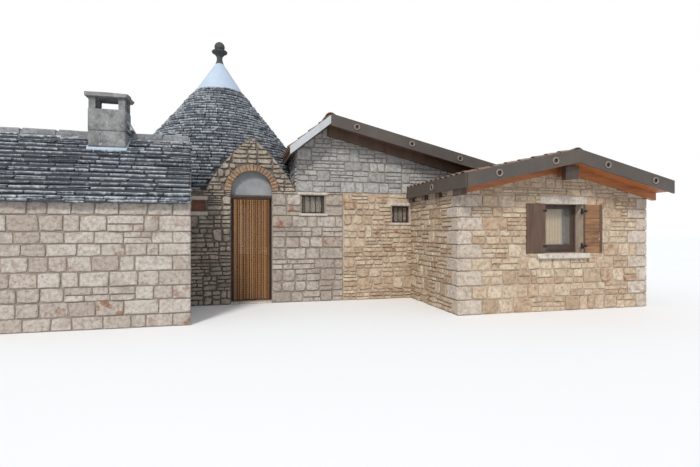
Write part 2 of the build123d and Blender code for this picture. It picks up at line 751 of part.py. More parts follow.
with BuildPart() as kitchen_left_wall:
    with BuildSketch(section(WING_X)):
        Polygon(
            (WING_FRONT_Y + WING_WALL, 0),
            (kitchen_back_y - WING_WALL, 0),
            (kitchen_back_y - WING_WALL, kitchen_top(kitchen_back_y - WING_WALL) - WING_SLAB),
            (WING_RIDGE_Y, WING_RIDGE_Z - WING_SLAB),
            (WING_FRONT_Y + WING_WALL, kitchen_top(WING_FRONT_Y + WING_WALL) - WING_SLAB),
            align=None,
        )
    extrude(amount=WING_WALL)

with BuildPart() as kitchen_back_wall:
    with BuildSketch(section(WING_X)):
        Polygon(
            (kitchen_back_y - WING_WALL, 0),
            (kitchen_back_y, 0),
            (kitchen_back_y, kitchen_eave_z),
            (kitchen_back_y - WING_WALL, kitchen_top(kitchen_back_y - WING_WALL) - WING_SLAB),
            align=None,
        )
    extrude(amount=KITCHEN_PASS_X - WING_X)
    add(drum_envelope.part, mode=Mode.SUBTRACT)
    add(cone_envelope.part, mode=Mode.SUBTRACT)

# Chimney stack, hollow, with vents between its corner piers
stack_y = STACK_FRONT_Y + STACK_DEPTH / 2
stack_x = STACK_X + STACK_W / 2
stack_foot_z = kitchen_top(STACK_FRONT_Y) - WING_SLAB
with BuildPart() as chimney_stack:
    with BuildSketch(Plane.XY.offset(stack_foot_z)):
        with Locations((stack_x, stack_y)):
            Rectangle(STACK_W, STACK_DEPTH)
            Rectangle(STACK_W - 2 * STACK_WALL, STACK_DEPTH - 2 * STACK_WALL, mode=Mode.SUBTRACT)
    extrude(amount=STACK_TOP_Z - stack_foot_z)
    with BuildSketch(Plane.XY.offset(STACK_TOP_Z - VENT_H)):
        with Locations((stack_x, stack_y)):
            Rectangle(STACK_W - 2 * STACK_WALL, STACK_DEPTH)
            Rectangle(STACK_W, STACK_DEPTH - 2 * STACK_WALL)
    extrude(amount=VENT_H, mode=Mode.SUBTRACT)

# Overhanging cap slab, a little higher along its middle
with BuildPart() as chimney_cap:
    with BuildSketch(section(STACK_X - CAP_OUT)):
        Polygon(
            (STACK_FRONT_Y - CAP_OUT, STACK_TOP_Z),
            (STACK_FRONT_Y + STACK_DEPTH + CAP_OUT, STACK_TOP_Z),
            (STACK_FRONT_Y + STACK_DEPTH + CAP_OUT, STACK_TOP_Z + CAP_T - CAP_CROWN),
            (stack_y, STACK_TOP_Z + CAP_T),
            (STACK_FRONT_Y - CAP_OUT, STACK_TOP_Z + CAP_T - CAP_CROWN),
            align=None,
        )
    extrude(amount=STACK_W + 2 * CAP_OUT)


def stack_plan():
    """Plan of the chimney stack's outside."""
    with BuildSketch(Plane.XY) as plan:
        with Locations((stack_x, stack_y)):
            Rectangle(STACK_W, STACK_DEPTH)
    return plan.sketch


# Kitchen roof slopes of stone slabs
with BuildPart() as kitchen_roof_front:
    with BuildSketch(section(WING_X)):
        Polygon(*slab_profile(-1), align=None)
    extrude(amount=WING_CORNER_X - WING_X + WING_EAVE_OUT)
    extrude(beyond_right_side(), amount=WING_RIDGE_Z + WING_CAP_H, mode=Mode.SUBTRACT)
    extrude(stack_plan(), amount=STACK_TOP_Z, mode=Mode.SUBTRACT)

with BuildPart() as kitchen_roof_back:
    with BuildSketch(section(WING_X)):
        Polygon(*slab_profile(1), align=None)
    extrude(amount=WING_CORNER_X - WING_X + WING_EAVE_OUT)
    extrude(beyond_right_side(), amount=WING_RIDGE_Z + WING_CAP_H, mode=Mode.SUBTRACT)
    extrude(stack_plan(), amount=STACK_TOP_Z, mode=Mode.SUBTRACT)
    add(cone_envelope.part, mode=Mode.SUBTRACT)
    add(drum_envelope.part, mode=Mode.SUBTRACT)

# Flat capping stones along the kitchen ridge
with BuildPart() as kitchen_ridge:
    with BuildSketch(section(WING_X)):
        Polygon(
            (WING_RIDGE_Y, WING_RIDGE_Z - WING_SLAB),
            (WING_RIDGE_Y + WING_CAP_W / 2, kitchen_top(WING_RIDGE_Y + WING_CAP_W / 2) - WING_SLAB),
            (WING_RIDGE_Y + WING_CAP_W / 2, WING_RIDGE_Z + WING_CAP_H / 2),
            (WING_RIDGE_Y, WING_RIDGE_Z + WING_CAP_H),
            (WING_RIDGE_Y - WING_CAP_W / 2, WING_RIDGE_Z + WING_CAP_H / 2),
            (WING_RIDGE_Y - WING_CAP_W / 2, kitchen_top(WING_RIDGE_Y - WING_CAP_W / 2) - WING_SLAB),
            align=None,
        )
    extrude(amount=WING_CORNER_X - WING_X + WING_EAVE_OUT)
    extrude(beyond_right_side(), amount=WING_RIDGE_Z + WING_CAP_H, mode=Mode.SUBTRACT)
    extrude(stack_plan(), amount=STACK_TOP_Z, mode=Mode.SUBTRACT)
    add(kitchen_roof_front.part, mode=Mode.SUBTRACT)
    add(kitchen_roof_back.part, mode=Mode.SUBTRACT)
    add(cone_envelope.part, mode=Mode.SUBTRACT)

# White lime fillet round the stack's foot
with BuildPart() as chimney_fillet:
    with BuildSketch(Plane.XY):
        with Locations((stack_x, STACK_FRONT_Y - FILLET_W + (STACK_DEPTH / 2 + FILLET_W) / 2)):
            Rectangle(STACK_W + 2 * FILLET_W, STACK_DEPTH / 2 + FILLET_W)
    extrude(amount=STACK_TOP_Z)
    with BuildSketch(section(STACK_X - STACK_W)):
        Polygon(
            *slope_band(kitchen_top, STACK_FRONT_Y - 2 * FILLET_W, stack_y, FILLET_H, 0),
            align=None,
        )
    extrude(amount=3 * STACK_W, mode=Mode.INTERSECT)
    extrude(stack_plan(), amount=STACK_TOP_Z, mode=Mode.SUBTRACT)
    add(kitchen_roof_front.part, mode=Mode.SUBTRACT)

# Front wall right of the door, up to the springing of the roof
with BuildPart() as pier_wall:
    with BuildSketch(facade(FRONT_Y)):
        with Locations(((DOOR_X1 + PIER_END) / 2, DRUM_H / 2)):
            Rectangle(PIER_END - DOOR_X1, DRUM_H)
    extrude(amount=-FRONT_WALL)
    extrude(opening_face(PIER_WINDOW, FRONT_Y), amount=-FRONT_WALL, mode=Mode.SUBTRACT)
    add(drum_envelope.part, mode=Mode.SUBTRACT)

with BuildPart() as rubble_wall:
    with BuildSketch(facade(FRONT_Y)):
        with Locations(((PIER_END + ROOM_X + HOUSE_WALL) / 2, DRUM_H / 2)):
            Rectangle(ROOM_X + HOUSE_WALL - PIER_END, DRUM_H)
    extrude(amount=-FRONT_WALL)
    extrude(opening_face(BARRED_WINDOW, FRONT_Y), amount=-FRONT_WALL, mode=Mode.SUBTRACT)

# Gable of the main house, from the wall's top to the roof
with BuildPart() as house_gable:
    with BuildSketch(facade(FRONT_Y)):
        Polygon(
            (HOUSE_X, DRUM_H),
            (HOUSE_IN_X, DRUM_H),
            (HOUSE_IN_X, house_top(HOUSE_IN_X) - ROOF_T),
            (HOUSE_RIDGE_X, HOUSE_RIDGE_Z - ROOF_T),
            (HOUSE_X, house_top(HOUSE_X) - ROOF_T),
            align=None,
        )
    extrude(amount=-FRONT_WALL)
    add(cone_envelope.part, mode=Mode.SUBTRACT)

# Short wall that closes the main house against the cone
with BuildPart() as house_left_wall:
    with BuildSketch(facade(FRONT_BACK)):
        Polygon(
            (HOUSE_X, DRUM_H + EAVE_EDGE),
            (HOUSE_X + HOUSE_WALL, DRUM_H + EAVE_EDGE),
            (HOUSE_X + HOUSE_WALL, house_top(HOUSE_X + HOUSE_WALL) - ROOF_T),
            (HOUSE_X, house_top(HOUSE_X) - ROOF_T),
            align=None,
        )
    extrude(amount=FRONT_BACK)
    add(cone_envelope.part, mode=Mode.SUBTRACT)

with BuildPart() as house_right_wall:
    with BuildSketch(facade(ROOM_FRONT_IN)):
        Polygon(
            (HOUSE_IN_X, 0),
            (HOUSE_RIGHT_X, 0),
            (HOUSE_RIGHT_X, house_top(HOUSE_RIGHT_X) - ROOF_T),
            (HOUSE_IN_X, house_top(HOUSE_IN_X) - ROOF_T),
            align=None,
        )
    extrude(amount=ROOM_FRONT_IN - HOUSE_IN_Y)

with BuildPart() as house_back_wall:
    with BuildSketch(facade(HOUSE_IN_Y)):
        Polygon(
            (HOUSE_X, 0),
            (HOUSE_RIGHT_X, 0),
            (HOUSE_RIGHT_X, house_top(HOUSE_RIGHT_X) - ROOF_T),
            (HOUSE_RIDGE_X, HOUSE_RIDGE_Z - ROOF_T),
            (HOUSE_X, house_top(HOUSE_X) - ROOF_T),
            align=None,
        )
    extrude(amount=-HOUSE_WALL)
    add(drum_envelope.part, mode=Mode.SUBTRACT)
    add(cone_envelope.part, mode=Mode.SUBTRACT)

# Lengths of the tile rows on the four tiled slopes
main_run = tile_run(house_top, HOUSE_RIDGE_X, EAVE_X)
left_run = tile_run(house_top, HOUSE_RIDGE_X, LEFT_EAVE_X)
room_run = tile_run(room_top, ROOM_RIDGE_X, ROOM_EAVE_X)
wing_run = tile_run(room_top, ROOM_RIDGE_X, EAVE_X)

# All that lies under the tiled wing's roof, which its neighbours are cut against
with BuildPart() as room_envelope:
    with BuildSketch(facade(ROOM_VERGE_Y)):
        Polygon(
            (ROOM_EAVE_X, 0),
            (EAVE_X, 0),
            (EAVE_X, room_top(EAVE_X)),
            (ROOM_RIDGE_X, ROOM_RIDGE_Z),
            (ROOM_EAVE_X, room_top(ROOM_EAVE_X)),
            align=None,
        )
    extrude(amount=ROOM_VERGE_Y - FRONT_Y)

# Main roof slopes, with their rows of barrel tiles and the ridge tiles
with BuildPart() as house_roof_right:
    with BuildSketch(facade(VERGE_Y)):
        Polygon(*slope_band(house_top, HOUSE_RIDGE_X, EAVE_X, -TILE_SET, ROOF_T), align=None)
    extrude(amount=VERGE_Y - HOUSE_TOP)
    extrude(tile_ribs(house_top, HOUSE_RIDGE_X, EAVE_X, VERGE_Y, HOUSE_TOP), amount=main_run)
    extrude(ridge_tile(HOUSE_RIDGE_X, VERGE_Y, HOUSE_RIDGE_Z), amount=VERGE_Y - HOUSE_TOP)

with BuildPart() as house_roof_left:
    with BuildSketch(facade(VERGE_Y)):
        Polygon(*slope_band(house_top, LEFT_EAVE_X, HOUSE_RIDGE_X, -TILE_SET, ROOF_T), align=None)
    extrude(amount=VERGE_Y - HOUSE_TOP)
    extrude(tile_ribs(house_top, HOUSE_RIDGE_X, LEFT_EAVE_X, VERGE_Y, HOUSE_TOP), amount=left_run)
    add(house_roof_right.part, mode=Mode.SUBTRACT)
    add(cone_envelope.part, mode=Mode.SUBTRACT)

# Tiled wing's roof slopes; the right one runs on in the main roof's plane
with BuildPart() as room_roof_right:
    with BuildSketch(facade(ROOM_VERGE_Y)):
        Polygon(*slope_band(room_top, ROOM_RIDGE_X, EAVE_X, -TILE_SET, ROOF_T), align=None)
    extrude(amount=ROOM_VERGE_Y - VERGE_Y)
    extrude(tile_ribs(room_top, ROOM_RIDGE_X, EAVE_X, ROOM_VERGE_Y, VERGE_Y), amount=wing_run)
    extrude(ridge_tile(ROOM_RIDGE_X, ROOM_VERGE_Y, ROOM_RIDGE_Z), amount=ROOM_VERGE_Y - VERGE_Y + FASCIA_T)

with BuildPart() as room_roof_left:
    with BuildSketch(facade(ROOM_VERGE_Y)):
        Polygon(*slope_band(room_top, ROOM_EAVE_X, ROOM_RIDGE_X, -TILE_SET, ROOF_T), align=None)
    extrude(amount=ROOM_VERGE_Y - FRONT_Y)
    extrude(tile_ribs(room_top, ROOM_RIDGE_X, ROOM_EAVE_X, ROOM_VERGE_Y, VERGE_Y), amount=room_run)
    add(house_roof_right.part, mode=Mode.SUBTRACT)
    add(room_roof_right.part, mode=Mode.SUBTRACT)

# Fascia boards along the verges
with BuildPart() as house_fascia:
    for board_y in (VERGE_Y - FASCIA_T, HOUSE_TOP):
        end_x = ROOM_RIDGE_X if board_y < 0 else EAVE_X
        with BuildSketch(facade(board_y)):
            Polygon(
                *slope_band(house_top, HOUSE_RIDGE_X, end_x, FASCIA_UP, FASCIA_H - FASCIA_UP),
                align=None,
            )
        extrude(amount=-FASCIA_T)
    add(room_envelope.part, mode=Mode.SUBTRACT)

with BuildPart() as room_fascia:
    with BuildSketch(facade(ROOM_VERGE_Y - FASCIA_T)):
        Polygon(
            *slope_band(room_top, ROOM_EAVE_X, ROOM_RIDGE_X, FASCIA_UP, FASCIA_H - FASCIA_UP),
            align=None,
        )
        Polygon(
            *slope_band(room_top, ROOM_RIDGE_X, EAVE_X, FASCIA_UP, FASCIA_H - FASCIA_UP),
            align=None,
        )
    extrude(amount=-FASCIA_T)

# Fascia along the left eave of the tiled wing
with BuildPart() as room_eave_fascia:
    with BuildSketch(facade(ROOM_VERGE_Y)):
        with Locations((ROOM_EAVE_X - FASCIA_T / 2, room_top(ROOM_EAVE_X) + FASCIA_UP - FASCIA_H / 2)):
            Rectangle(FASCIA_T, FASCIA_H)
    extrude(amount=ROOM_VERGE_Y - FRONT_Y)

# Rafter against the main gable, under the verge
with BuildPart() as house_rafter:
    with BuildSketch(facade(FRONT_Y - RAFTER_T)):
        Polygon(
            *slope_band(house_top, HOUSE_RIDGE_X, RAFTER_END_X, -ROOF_T, ROOF_T + HOUSE_RAFTER_H),
            align=None,
        )
    extrude(amount=-RAFTER_T)
    add(room_envelope.part, mode=Mode.SUBTRACT)

# Rafters against the wing's gable and the ridge beam between them
with BuildPart() as room_timbers:
    with BuildSketch(facade(ROOM_FRONT_Y - RAFTER_T)):
        Polygon(
            *slope_band(room_top, ROOM_EAVE_X, ROOM_RIDGE_X, -ROOF_T, ROOF_T + ROOM_RAFTER_H),
            align=None,
        )
        Polygon(
            *slope_band(room_top, ROOM_RIDGE_X, EAVE_X, -ROOF_T, ROOF_T + ROOM_RAFTER_H),
            align=None,
        )
    extrude(amount=-RAFTER_T)
    with BuildSketch(facade(ROOM_VERGE_Y + ROOM_VERGE / 3)):
        with Locations((ROOM_RIDGE_X, ROOM_RIDGE_Z - ROOF_T - ROOM_RAFTER_H / 2 - BEAM_H / 2)):
            Rectangle(BEAM_W, BEAM_H)
    extrude(amount=-ROOM_VERGE * 2 / 3)
    for tail in range(TAILS):
        tail_y = ROOM_FRONT_Y + TAIL_FIRST + tail * TAIL_PITCH
        with BuildSketch(facade(tail_y)):
            Polygon(
                *slope_band(room_top, ROOM_EAVE_X, ROOM_X, -ROOF_T, ROOF_T + TAIL_H),
                align=None,
            )
        extrude(amount=-TAIL_W)

# Gable wall of the tiled wing
with BuildPart() as room_gable_wall:
    with BuildSketch(facade(ROOM_FRONT_Y)):
        Polygon(
            (ROOM_X, 0),
            (HOUSE_RIGHT_X, 0),
            (HOUSE_RIGHT_X, room_top(HOUSE_RIGHT_X) - ROOF_T),
            (ROOM_RIDGE_X, ROOM_RIDGE_Z - ROOF_T),
            (ROOM_X, room_top(ROOM_X) - ROOF_T),
            align=None,
        )
    extrude(amount=-HOUSE_WALL)
    extrude(opening_face(ROOM_WINDOW, ROOM_FRONT_Y), amount=-HOUSE_WALL, mode=Mode.SUBTRACT)
    extrude(sill_face(ROOM_WINDOW, ROOM_FRONT_Y), amount=-STONE_DEPTH, mode=Mode.SUBTRACT)
    extrude(lintel_face(ROOM_WINDOW, ROOM_FRONT_Y), amount=-STONE_DEPTH, mode=Mode.SUBTRACT)

with BuildPart() as room_left_wall:
    with BuildSketch(facade(ROOM_FRONT_IN)):
        Polygon(
            (ROOM_X, 0),
            (ROOM_X + HOUSE_WALL, 0),
            (ROOM_X + HOUSE_WALL, room_top(ROOM_X + HOUSE_WALL) - ROOF_T),
            (ROOM_X, room_top(ROOM_X) - ROOF_T),
            align=None,
        )
    extrude(amount=ROOM_FRONT_IN - FRONT_Y)

# Stone sill and lintel of the wing's window
with BuildPart() as room_window_stones:
    extrude(sill_face(ROOM_WINDOW, ROOM_FRONT_Y - SILL_OUT), amount=-(SILL_OUT + STONE_DEPTH))
    extrude(lintel_face(ROOM_WINDOW, ROOM_FRONT_Y), amount=-STONE_DEPTH)

# Window frames
with BuildPart() as room_window:
    extrude(frame_face(ROOM_WINDOW, ROOM_FRONT_Y + WINDOW_SET, 0), amount=-WINDOW_DEPTH)

with BuildPart() as room_glass:
    glass_x, glass_z, glass_w, glass_h = ROOM_WINDOW
    with BuildSketch(facade(ROOM_FRONT_Y + WINDOW_SET + WINDOW_DEPTH / 2)):
        with Locations((glass_x + glass_w / 2, glass_z + glass_h / 2)):
            Rectangle(glass_w - 2 * WINDOW_BAR, glass_h - 2 * WINDOW_BAR)
    extrude(amount=-GLASS_T)

with BuildPart() as small_windows:
    extrude(frame_face(BARRED_WINDOW, FRONT_Y + SMALL_SET, 4), amount=-WINDOW_DEPTH)
    extrude(frame_face(PIER_WINDOW, FRONT_Y + SMALL_SET, 1), amount=-WINDOW_DEPTH)

# Shutters, fixed open against the wall
with BuildPart() as shutters:
    shutter_x, shutter_z, opening_w, shutter_h = ROOM_WINDOW
    for middle in (shutter_x - SHUTTER_W / 2, shutter_x + opening_w + SHUTTER_W / 2):
        with BuildSketch(facade(ROOM_FRONT_Y)):
            with Locations((middle, shutter_z + shutter_h / 2)):
                Rectangle(SHUTTER_W, shutter_h)
        extrude(amount=SHUTTER_T)

# Stone floor of all the rooms and of the passages between them
with BuildPart() as floors:
    with BuildSketch(Plane.XY):
        Polygon(
            (DOOR_X1, FRONT_BACK),
            (ROOM_X + HOUSE_WALL, FRONT_BACK),
            (ROOM_X + HOUSE_WALL, ROOM_FRONT_IN),
            (HOUSE_IN_X, ROOM_FRONT_IN),
            (HOUSE_IN_X, HOUSE_IN_Y),
            (DOOR_X1, HOUSE_IN_Y),
            align=None,
        )
        Polygon(
            (WING_X + WING_WALL, WING_FRONT_Y + WING_WALL),
            (KITCHEN_IN_X, WING_FRONT_Y + WING_WALL),
            (KITCHEN_IN_X, kitchen_back_y - WING_WALL),
            (WING_X + WING_WALL, kitchen_back_y - WING_WALL),
            align=None,
        )
        Circle(DRUM_R, mode=Mode.SUBTRACT)
        Circle(DRUM_IN)
        add(passage_floor())
        with Locations((DOOR_MID, FRONT_Y + FRONT_WALL / 2)):
            Rectangle(DOOR_W, FRONT_WALL, mode=Mode.SUBTRACT)
    extrude(amount=FLOOR_T)

PIECES = {
    "drum_wall_front": drum_wall_front,
    "drum_wall_right": drum_wall_right,
    "drum_wall_back": drum_wall_back,
    "drum_wall_left": drum_wall_left,
    "drum_lintels": drum_lintels,
    "cone_roof": cone_roof,
    "white_tip": white_tip,
    "pinnacle": pinnacle,
    "entrance_wall": entrance_wall,
    "hatch": hatch,
    "entrance_gable": entrance_gable,
    "arch_ring": arch_ring,
    "tympanum": tympanum,
    "entrance_saddle": entrance_saddle,
    "threshold": threshold,
    "door_frame": door_frame,
    "door_leaf": door_leaf,
    "door_glass": door_glass,
    "door_pintles": door_pintles,
    "door_straps": door_straps,
    "door_handle": door_handle,
    "bead_curtain": bead_curtain,
    "kitchen_front_wall": kitchen_front_wall,
    "kitchen_right_wall": kitchen_right_wall,
    "kitchen_left_wall": kitchen_left_wall,
    "kitchen_back_wall": kitchen_back_wall,
    "kitchen_roof_front": kitchen_roof_front,
    "kitchen_roof_back": kitchen_roof_back,
    "kitchen_ridge": kitchen_ridge,
    "chimney_stack": chimney_stack,
    "chimney_cap": chimney_cap,
    "chimney_fillet": chimney_fillet,
    "pier_wall": pier_wall,
    "rubble_wall": rubble_wall,
    "house_gable": house_gable,
    "house_left_wall": house_left_wall,
    "house_right_wall": house_right_wall,
    "house_back_wall": house_back_wall,
    "house_roof_left": house_roof_left,
    "house_roof_right": house_roof_right,
    "room_roof_left": room_roof_left,
    "room_roof_right": room_roof_right,
    "house_fascia": house_fascia,
    "room_fascia": room_fascia,
    "room_eave_fascia": room_eave_fascia,
    "house_rafter": house_rafter,
    "room_timbers": room_timbers,
    "room_gable_wall": room_gable_wall,
    "room_left_wall": room_left_wall,
    "room_window_stones": room_window_stones,
    "room_window": room_window,
    "room_glass": room_glass,
    "small_windows": small_windows,
    "shutters": shutters,
    "floors": floors,
}

for name, piece in PIECES.items():
    piece.part.label = name
    export_step(piece.part, f"parts/{name}.step")
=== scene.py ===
"""Dresses the trullo house: stones, slabs, tiles, timbers, door, beads and their finishes.

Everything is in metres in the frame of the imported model: +X along the front to
the right, +Y into the house, +Z up, with the origin on the cone's axis.
"""
import logging
import math
import random
from collections.abc import Callable
from dataclasses import dataclass, field
from enum import Enum
from itertools import pairwise, product

import bpy
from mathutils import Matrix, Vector


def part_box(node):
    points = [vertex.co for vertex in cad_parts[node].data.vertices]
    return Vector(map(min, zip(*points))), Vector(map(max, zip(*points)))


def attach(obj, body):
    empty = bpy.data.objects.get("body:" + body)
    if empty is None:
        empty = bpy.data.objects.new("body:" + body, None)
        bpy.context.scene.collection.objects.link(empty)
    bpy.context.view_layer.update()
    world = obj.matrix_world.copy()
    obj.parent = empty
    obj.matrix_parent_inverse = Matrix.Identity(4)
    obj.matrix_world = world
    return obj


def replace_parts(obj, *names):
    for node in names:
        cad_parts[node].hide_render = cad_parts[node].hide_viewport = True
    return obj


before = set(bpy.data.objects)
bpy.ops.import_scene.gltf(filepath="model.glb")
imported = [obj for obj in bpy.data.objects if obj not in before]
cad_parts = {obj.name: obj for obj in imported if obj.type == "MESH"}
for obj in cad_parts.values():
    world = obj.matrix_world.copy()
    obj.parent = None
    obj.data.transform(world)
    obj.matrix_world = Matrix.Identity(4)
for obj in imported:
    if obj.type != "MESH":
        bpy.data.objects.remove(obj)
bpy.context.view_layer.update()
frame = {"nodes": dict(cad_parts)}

logging.basicConfig(level=logging.INFO, format="%(message)s")
log = logging.getLogger("trullo")

Point = tuple[float, float]
Place = tuple[float, float, float]
Colour = tuple[float, float, float]
Box = tuple[Place, Place]
Opening = tuple[float, float, float, float]
Copy = tuple[Place, Place, Place, float]
Cell = tuple[list[Place], float, float]
HOUSE = "house"
WHITE = (1.0, 1.0, 1.0)


class Bond(Enum):
    """Ways in which the walls are laid."""

    COURSED = "squared blocks in level courses"
    RUBBLE = "mixed rubble between levelling courses"
    THIN = "thin flat rubble"
    BLOCKS = "large worn blocks in courses"
    ROUGH = "rough field stones"


@dataclass(frozen=True)
class BondSizes:
    """Sizes of the stones in one bond, in metres."""

    lift: Point
    rows: tuple[int, int]
    stacked: float
    width: Point
    jitter: float
    joint: float
    relief: float


BONDS = {
    Bond.COURSED: BondSizes((0.17, 0.25), (2, 2), 0.07, (0.20, 0.42), 0.10, 0.011, 0.019),
    Bond.RUBBLE: BondSizes((0.18, 0.28), (2, 3), 0.42, (0.15, 0.40), 0.13, 0.011, 0.024),
    Bond.BLOCKS: BondSizes((0.18, 0.27), (2, 2), 0.22, (0.20, 0.44), 0.13, 0.012, 0.026),
    Bond.THIN: BondSizes((0.18, 0.27), (2, 3), 0.70, (0.13, 0.34), 0.20, 0.012, 0.030),
    Bond.ROUGH: BondSizes((0.18, 0.30), (2, 4), 0.75, (0.11, 0.32), 0.24, 0.015, 0.042),
}
# Lengths of the long and the short quoins at the corners, in metres
QUOINS = (0.46, 0.26)
# How far the corners of a quoin stray, as a share of its size
QUOIN_JITTER = 0.04
# Smallest stone that is laid, in square metres
SMALLEST_STONE = 0.0012
# Heights of quoins, of other stones and of those behind a shutter, as shares of the relief
QUOIN_LIFT, STONE_LIFT, LOW_LIFT = (0.95, 1.15), (0.55, 1.25), 0.45


# Node helpers for materials and geometry


def first_socket(node: bpy.types.Node, name: str) -> bpy.types.NodeSocket:
    """Finds a node's enabled input by name.

    Args:
        node: The node to look at.
        name: The input's label.

    Returns:
        The first enabled input with that name.
    """
    return next(s for s in node.inputs if s.name == name and s.enabled)


class Tree:
    """Wires nodes in a material, world or geometry node tree."""

    def __init__(self, tree: bpy.types.NodeTree) -> None:
        """Keeps the tree that nodes are added to."""
        self.tree = tree

    def feed(self, socket: bpy.types.NodeSocket, value) -> None:
        """Links an input to another socket, or sets its own value."""
        if isinstance(value, bpy.types.NodeSocket):
            self.tree.links.new(value, socket)
        else:
            socket.default_value = value

    def add(self, kind: str, settings: dict | None = None, **inputs) -> bpy.types.Node:
        """Adds a node, sets its properties and fills or links its inputs.

        Args:
            kind: The node's type name.
            settings: Property values of the node.
            **inputs: Values or sockets by input name, with _ for a space.

        Returns:
            The new node.
        """
        node = self.tree.nodes.new(kind)
        for key, value in (settings or {}).items():
            setattr(node, key, value)
        for key, value in inputs.items():
            self.feed(first_socket(node, key.replace("_", " ")), value)
        return node

    def math(self, operation: str, a, b=0.0) -> bpy.types.NodeSocket:
        """Adds a math node on two values or sockets and returns its output."""
        node = self.add("ShaderNodeMath", {"operation": operation})
        for socket, value in zip(node.inputs, (a, b)):
            self.feed(socket, value)
        return node.outputs[0]


class MaterialTree(Tree):
    """A procedural material under construction."""

    def __init__(self, name: str) -> None:
        """Starts a material with a Principled shader."""
        self.material = bpy.data.materials.new(name)
        self.material.use_nodes = True
        super().__init__(self.material.node_tree)
        self.shader = self.tree.nodes["Principled BSDF"]
        self.coords = self.add("ShaderNodeTexCoord").outputs["Object"]

    def attribute(self, name: str) -> bpy.types.NodeSocket:
        """Reads an attribute of the piece as a value."""
        return self.add("ShaderNodeAttribute", {"attribute_name": name}).outputs["Fac"]

    def noise(self, scale: float, detail: float = 4.0, roughness: float = 0.55, stretch: Place | None = None):
        """Adds a noise in object space and returns its value output."""
        vector = self.coords
        if stretch:
            vector = self.add("ShaderNodeMapping", Vector=self.coords, Scale=stretch).outputs[0]
        node = self.add("ShaderNodeTexNoise", Vector=vector, Scale=scale, Detail=detail, Roughness=roughness)
        return node.outputs[0]

    def ramp(self, factor, stops: list[tuple[float, Colour]]) -> bpy.types.NodeSocket:
        """Adds a colour ramp and returns its colour output."""
        node = self.add("ShaderNodeValToRGB", Fac=factor)
        elements = node.color_ramp.elements
        while len(elements) < len(stops):
            elements.new(0.5)
        for element, (place, colour) in zip(elements, stops):
            element.position = place
            element.color = (*colour, 1.0)
        return node.outputs[0]

    def tones(self, factor, colours: tuple[Colour, ...]) -> bpy.types.NodeSocket:
        """Adds a ramp with its colours at even steps."""
        return self.ramp(factor, [(i / (len(colours) - 1), colour) for i, colour in enumerate(colours)])

    def mask(self, factor, low: float, high: float) -> bpy.types.NodeSocket:
        """Turns a value into a 0 to 1 mask between two limits."""
        node = self.add("ShaderNodeMapRange", {"clamp": True}, Value=factor, From_Min=low, From_Max=high)
        return node.outputs[0]

    def mix(self, factor, a, b, blend: str = "MIX") -> bpy.types.NodeSocket:
        """Mixes two colours and returns the result."""
        node = self.add("ShaderNodeMix", {"data_type": "RGBA", "blend_type": blend})
        sockets = {s.identifier: s for s in (*node.inputs, *node.outputs)}
        for name, value in (("Factor_Float", factor), ("A_Color", a), ("B_Color", b)):
            self.feed(sockets[name], (*value, 1.0) if isinstance(value, tuple) else value)
        return sockets["Result_Color"]

    def speckle(self, base, share: float, noise, dark: Colour) -> bpy.types.NodeSocket:
        """Darkens a colour where a noise is low."""
        return self.mix(share, base, self.ramp(noise, [(0.3, dark), (0.7, WHITE)]), "MULTIPLY")

    def patch(self, base, colour, noise, start: float, blur: float) -> bpy.types.NodeSocket:
        """Lays a colour over another where a noise passes a limit."""
        return self.mix(self.mask(noise, start, start + blur), base, colour)

    def weigh(self, *parts: tuple) -> bpy.types.NodeSocket:
        """Adds values up, each times its weight."""
        scaled = [self.math("MULTIPLY", value, weight) for value, weight in parts]
        total = scaled[0]
        for part in scaled[1:]:
            total = self.math("ADD", total, part)
        return total

    def bump(self, *heights: tuple) -> None:
        """Wires noises to the shader's normal, each with its height in metres."""
        node = self.add("ShaderNodeBump", Height=self.weigh(*heights), Distance=1.0, Strength=1.0)
        self.feed(self.shader.inputs["Normal"], node.outputs[0])

    def colour(self, colour) -> None:
        """Sets or links the base colour."""
        self.feed(self.shader.inputs["Base Color"], (*colour, 1.0) if isinstance(colour, tuple) else colour)

    def shine(self, **values: float) -> None:
        """Sets the shader's values by input name, with _ for a space."""
        for name, value in values.items():
            self.shader.inputs[name.replace("_", " ")].default_value = value


@dataclass(frozen=True)
class Finish:
    """A named finish, which each kind of surface paints in its own way."""

    name: str

    def material(self) -> bpy.types.Material:
        """Builds the finish's procedural material."""
        tree = MaterialTree(self.name)
        self.paint(tree)
        return tree.material

    def paint(self, tree: MaterialTree) -> None:
        """Wires the finish into its tree."""
        raise NotImplementedError


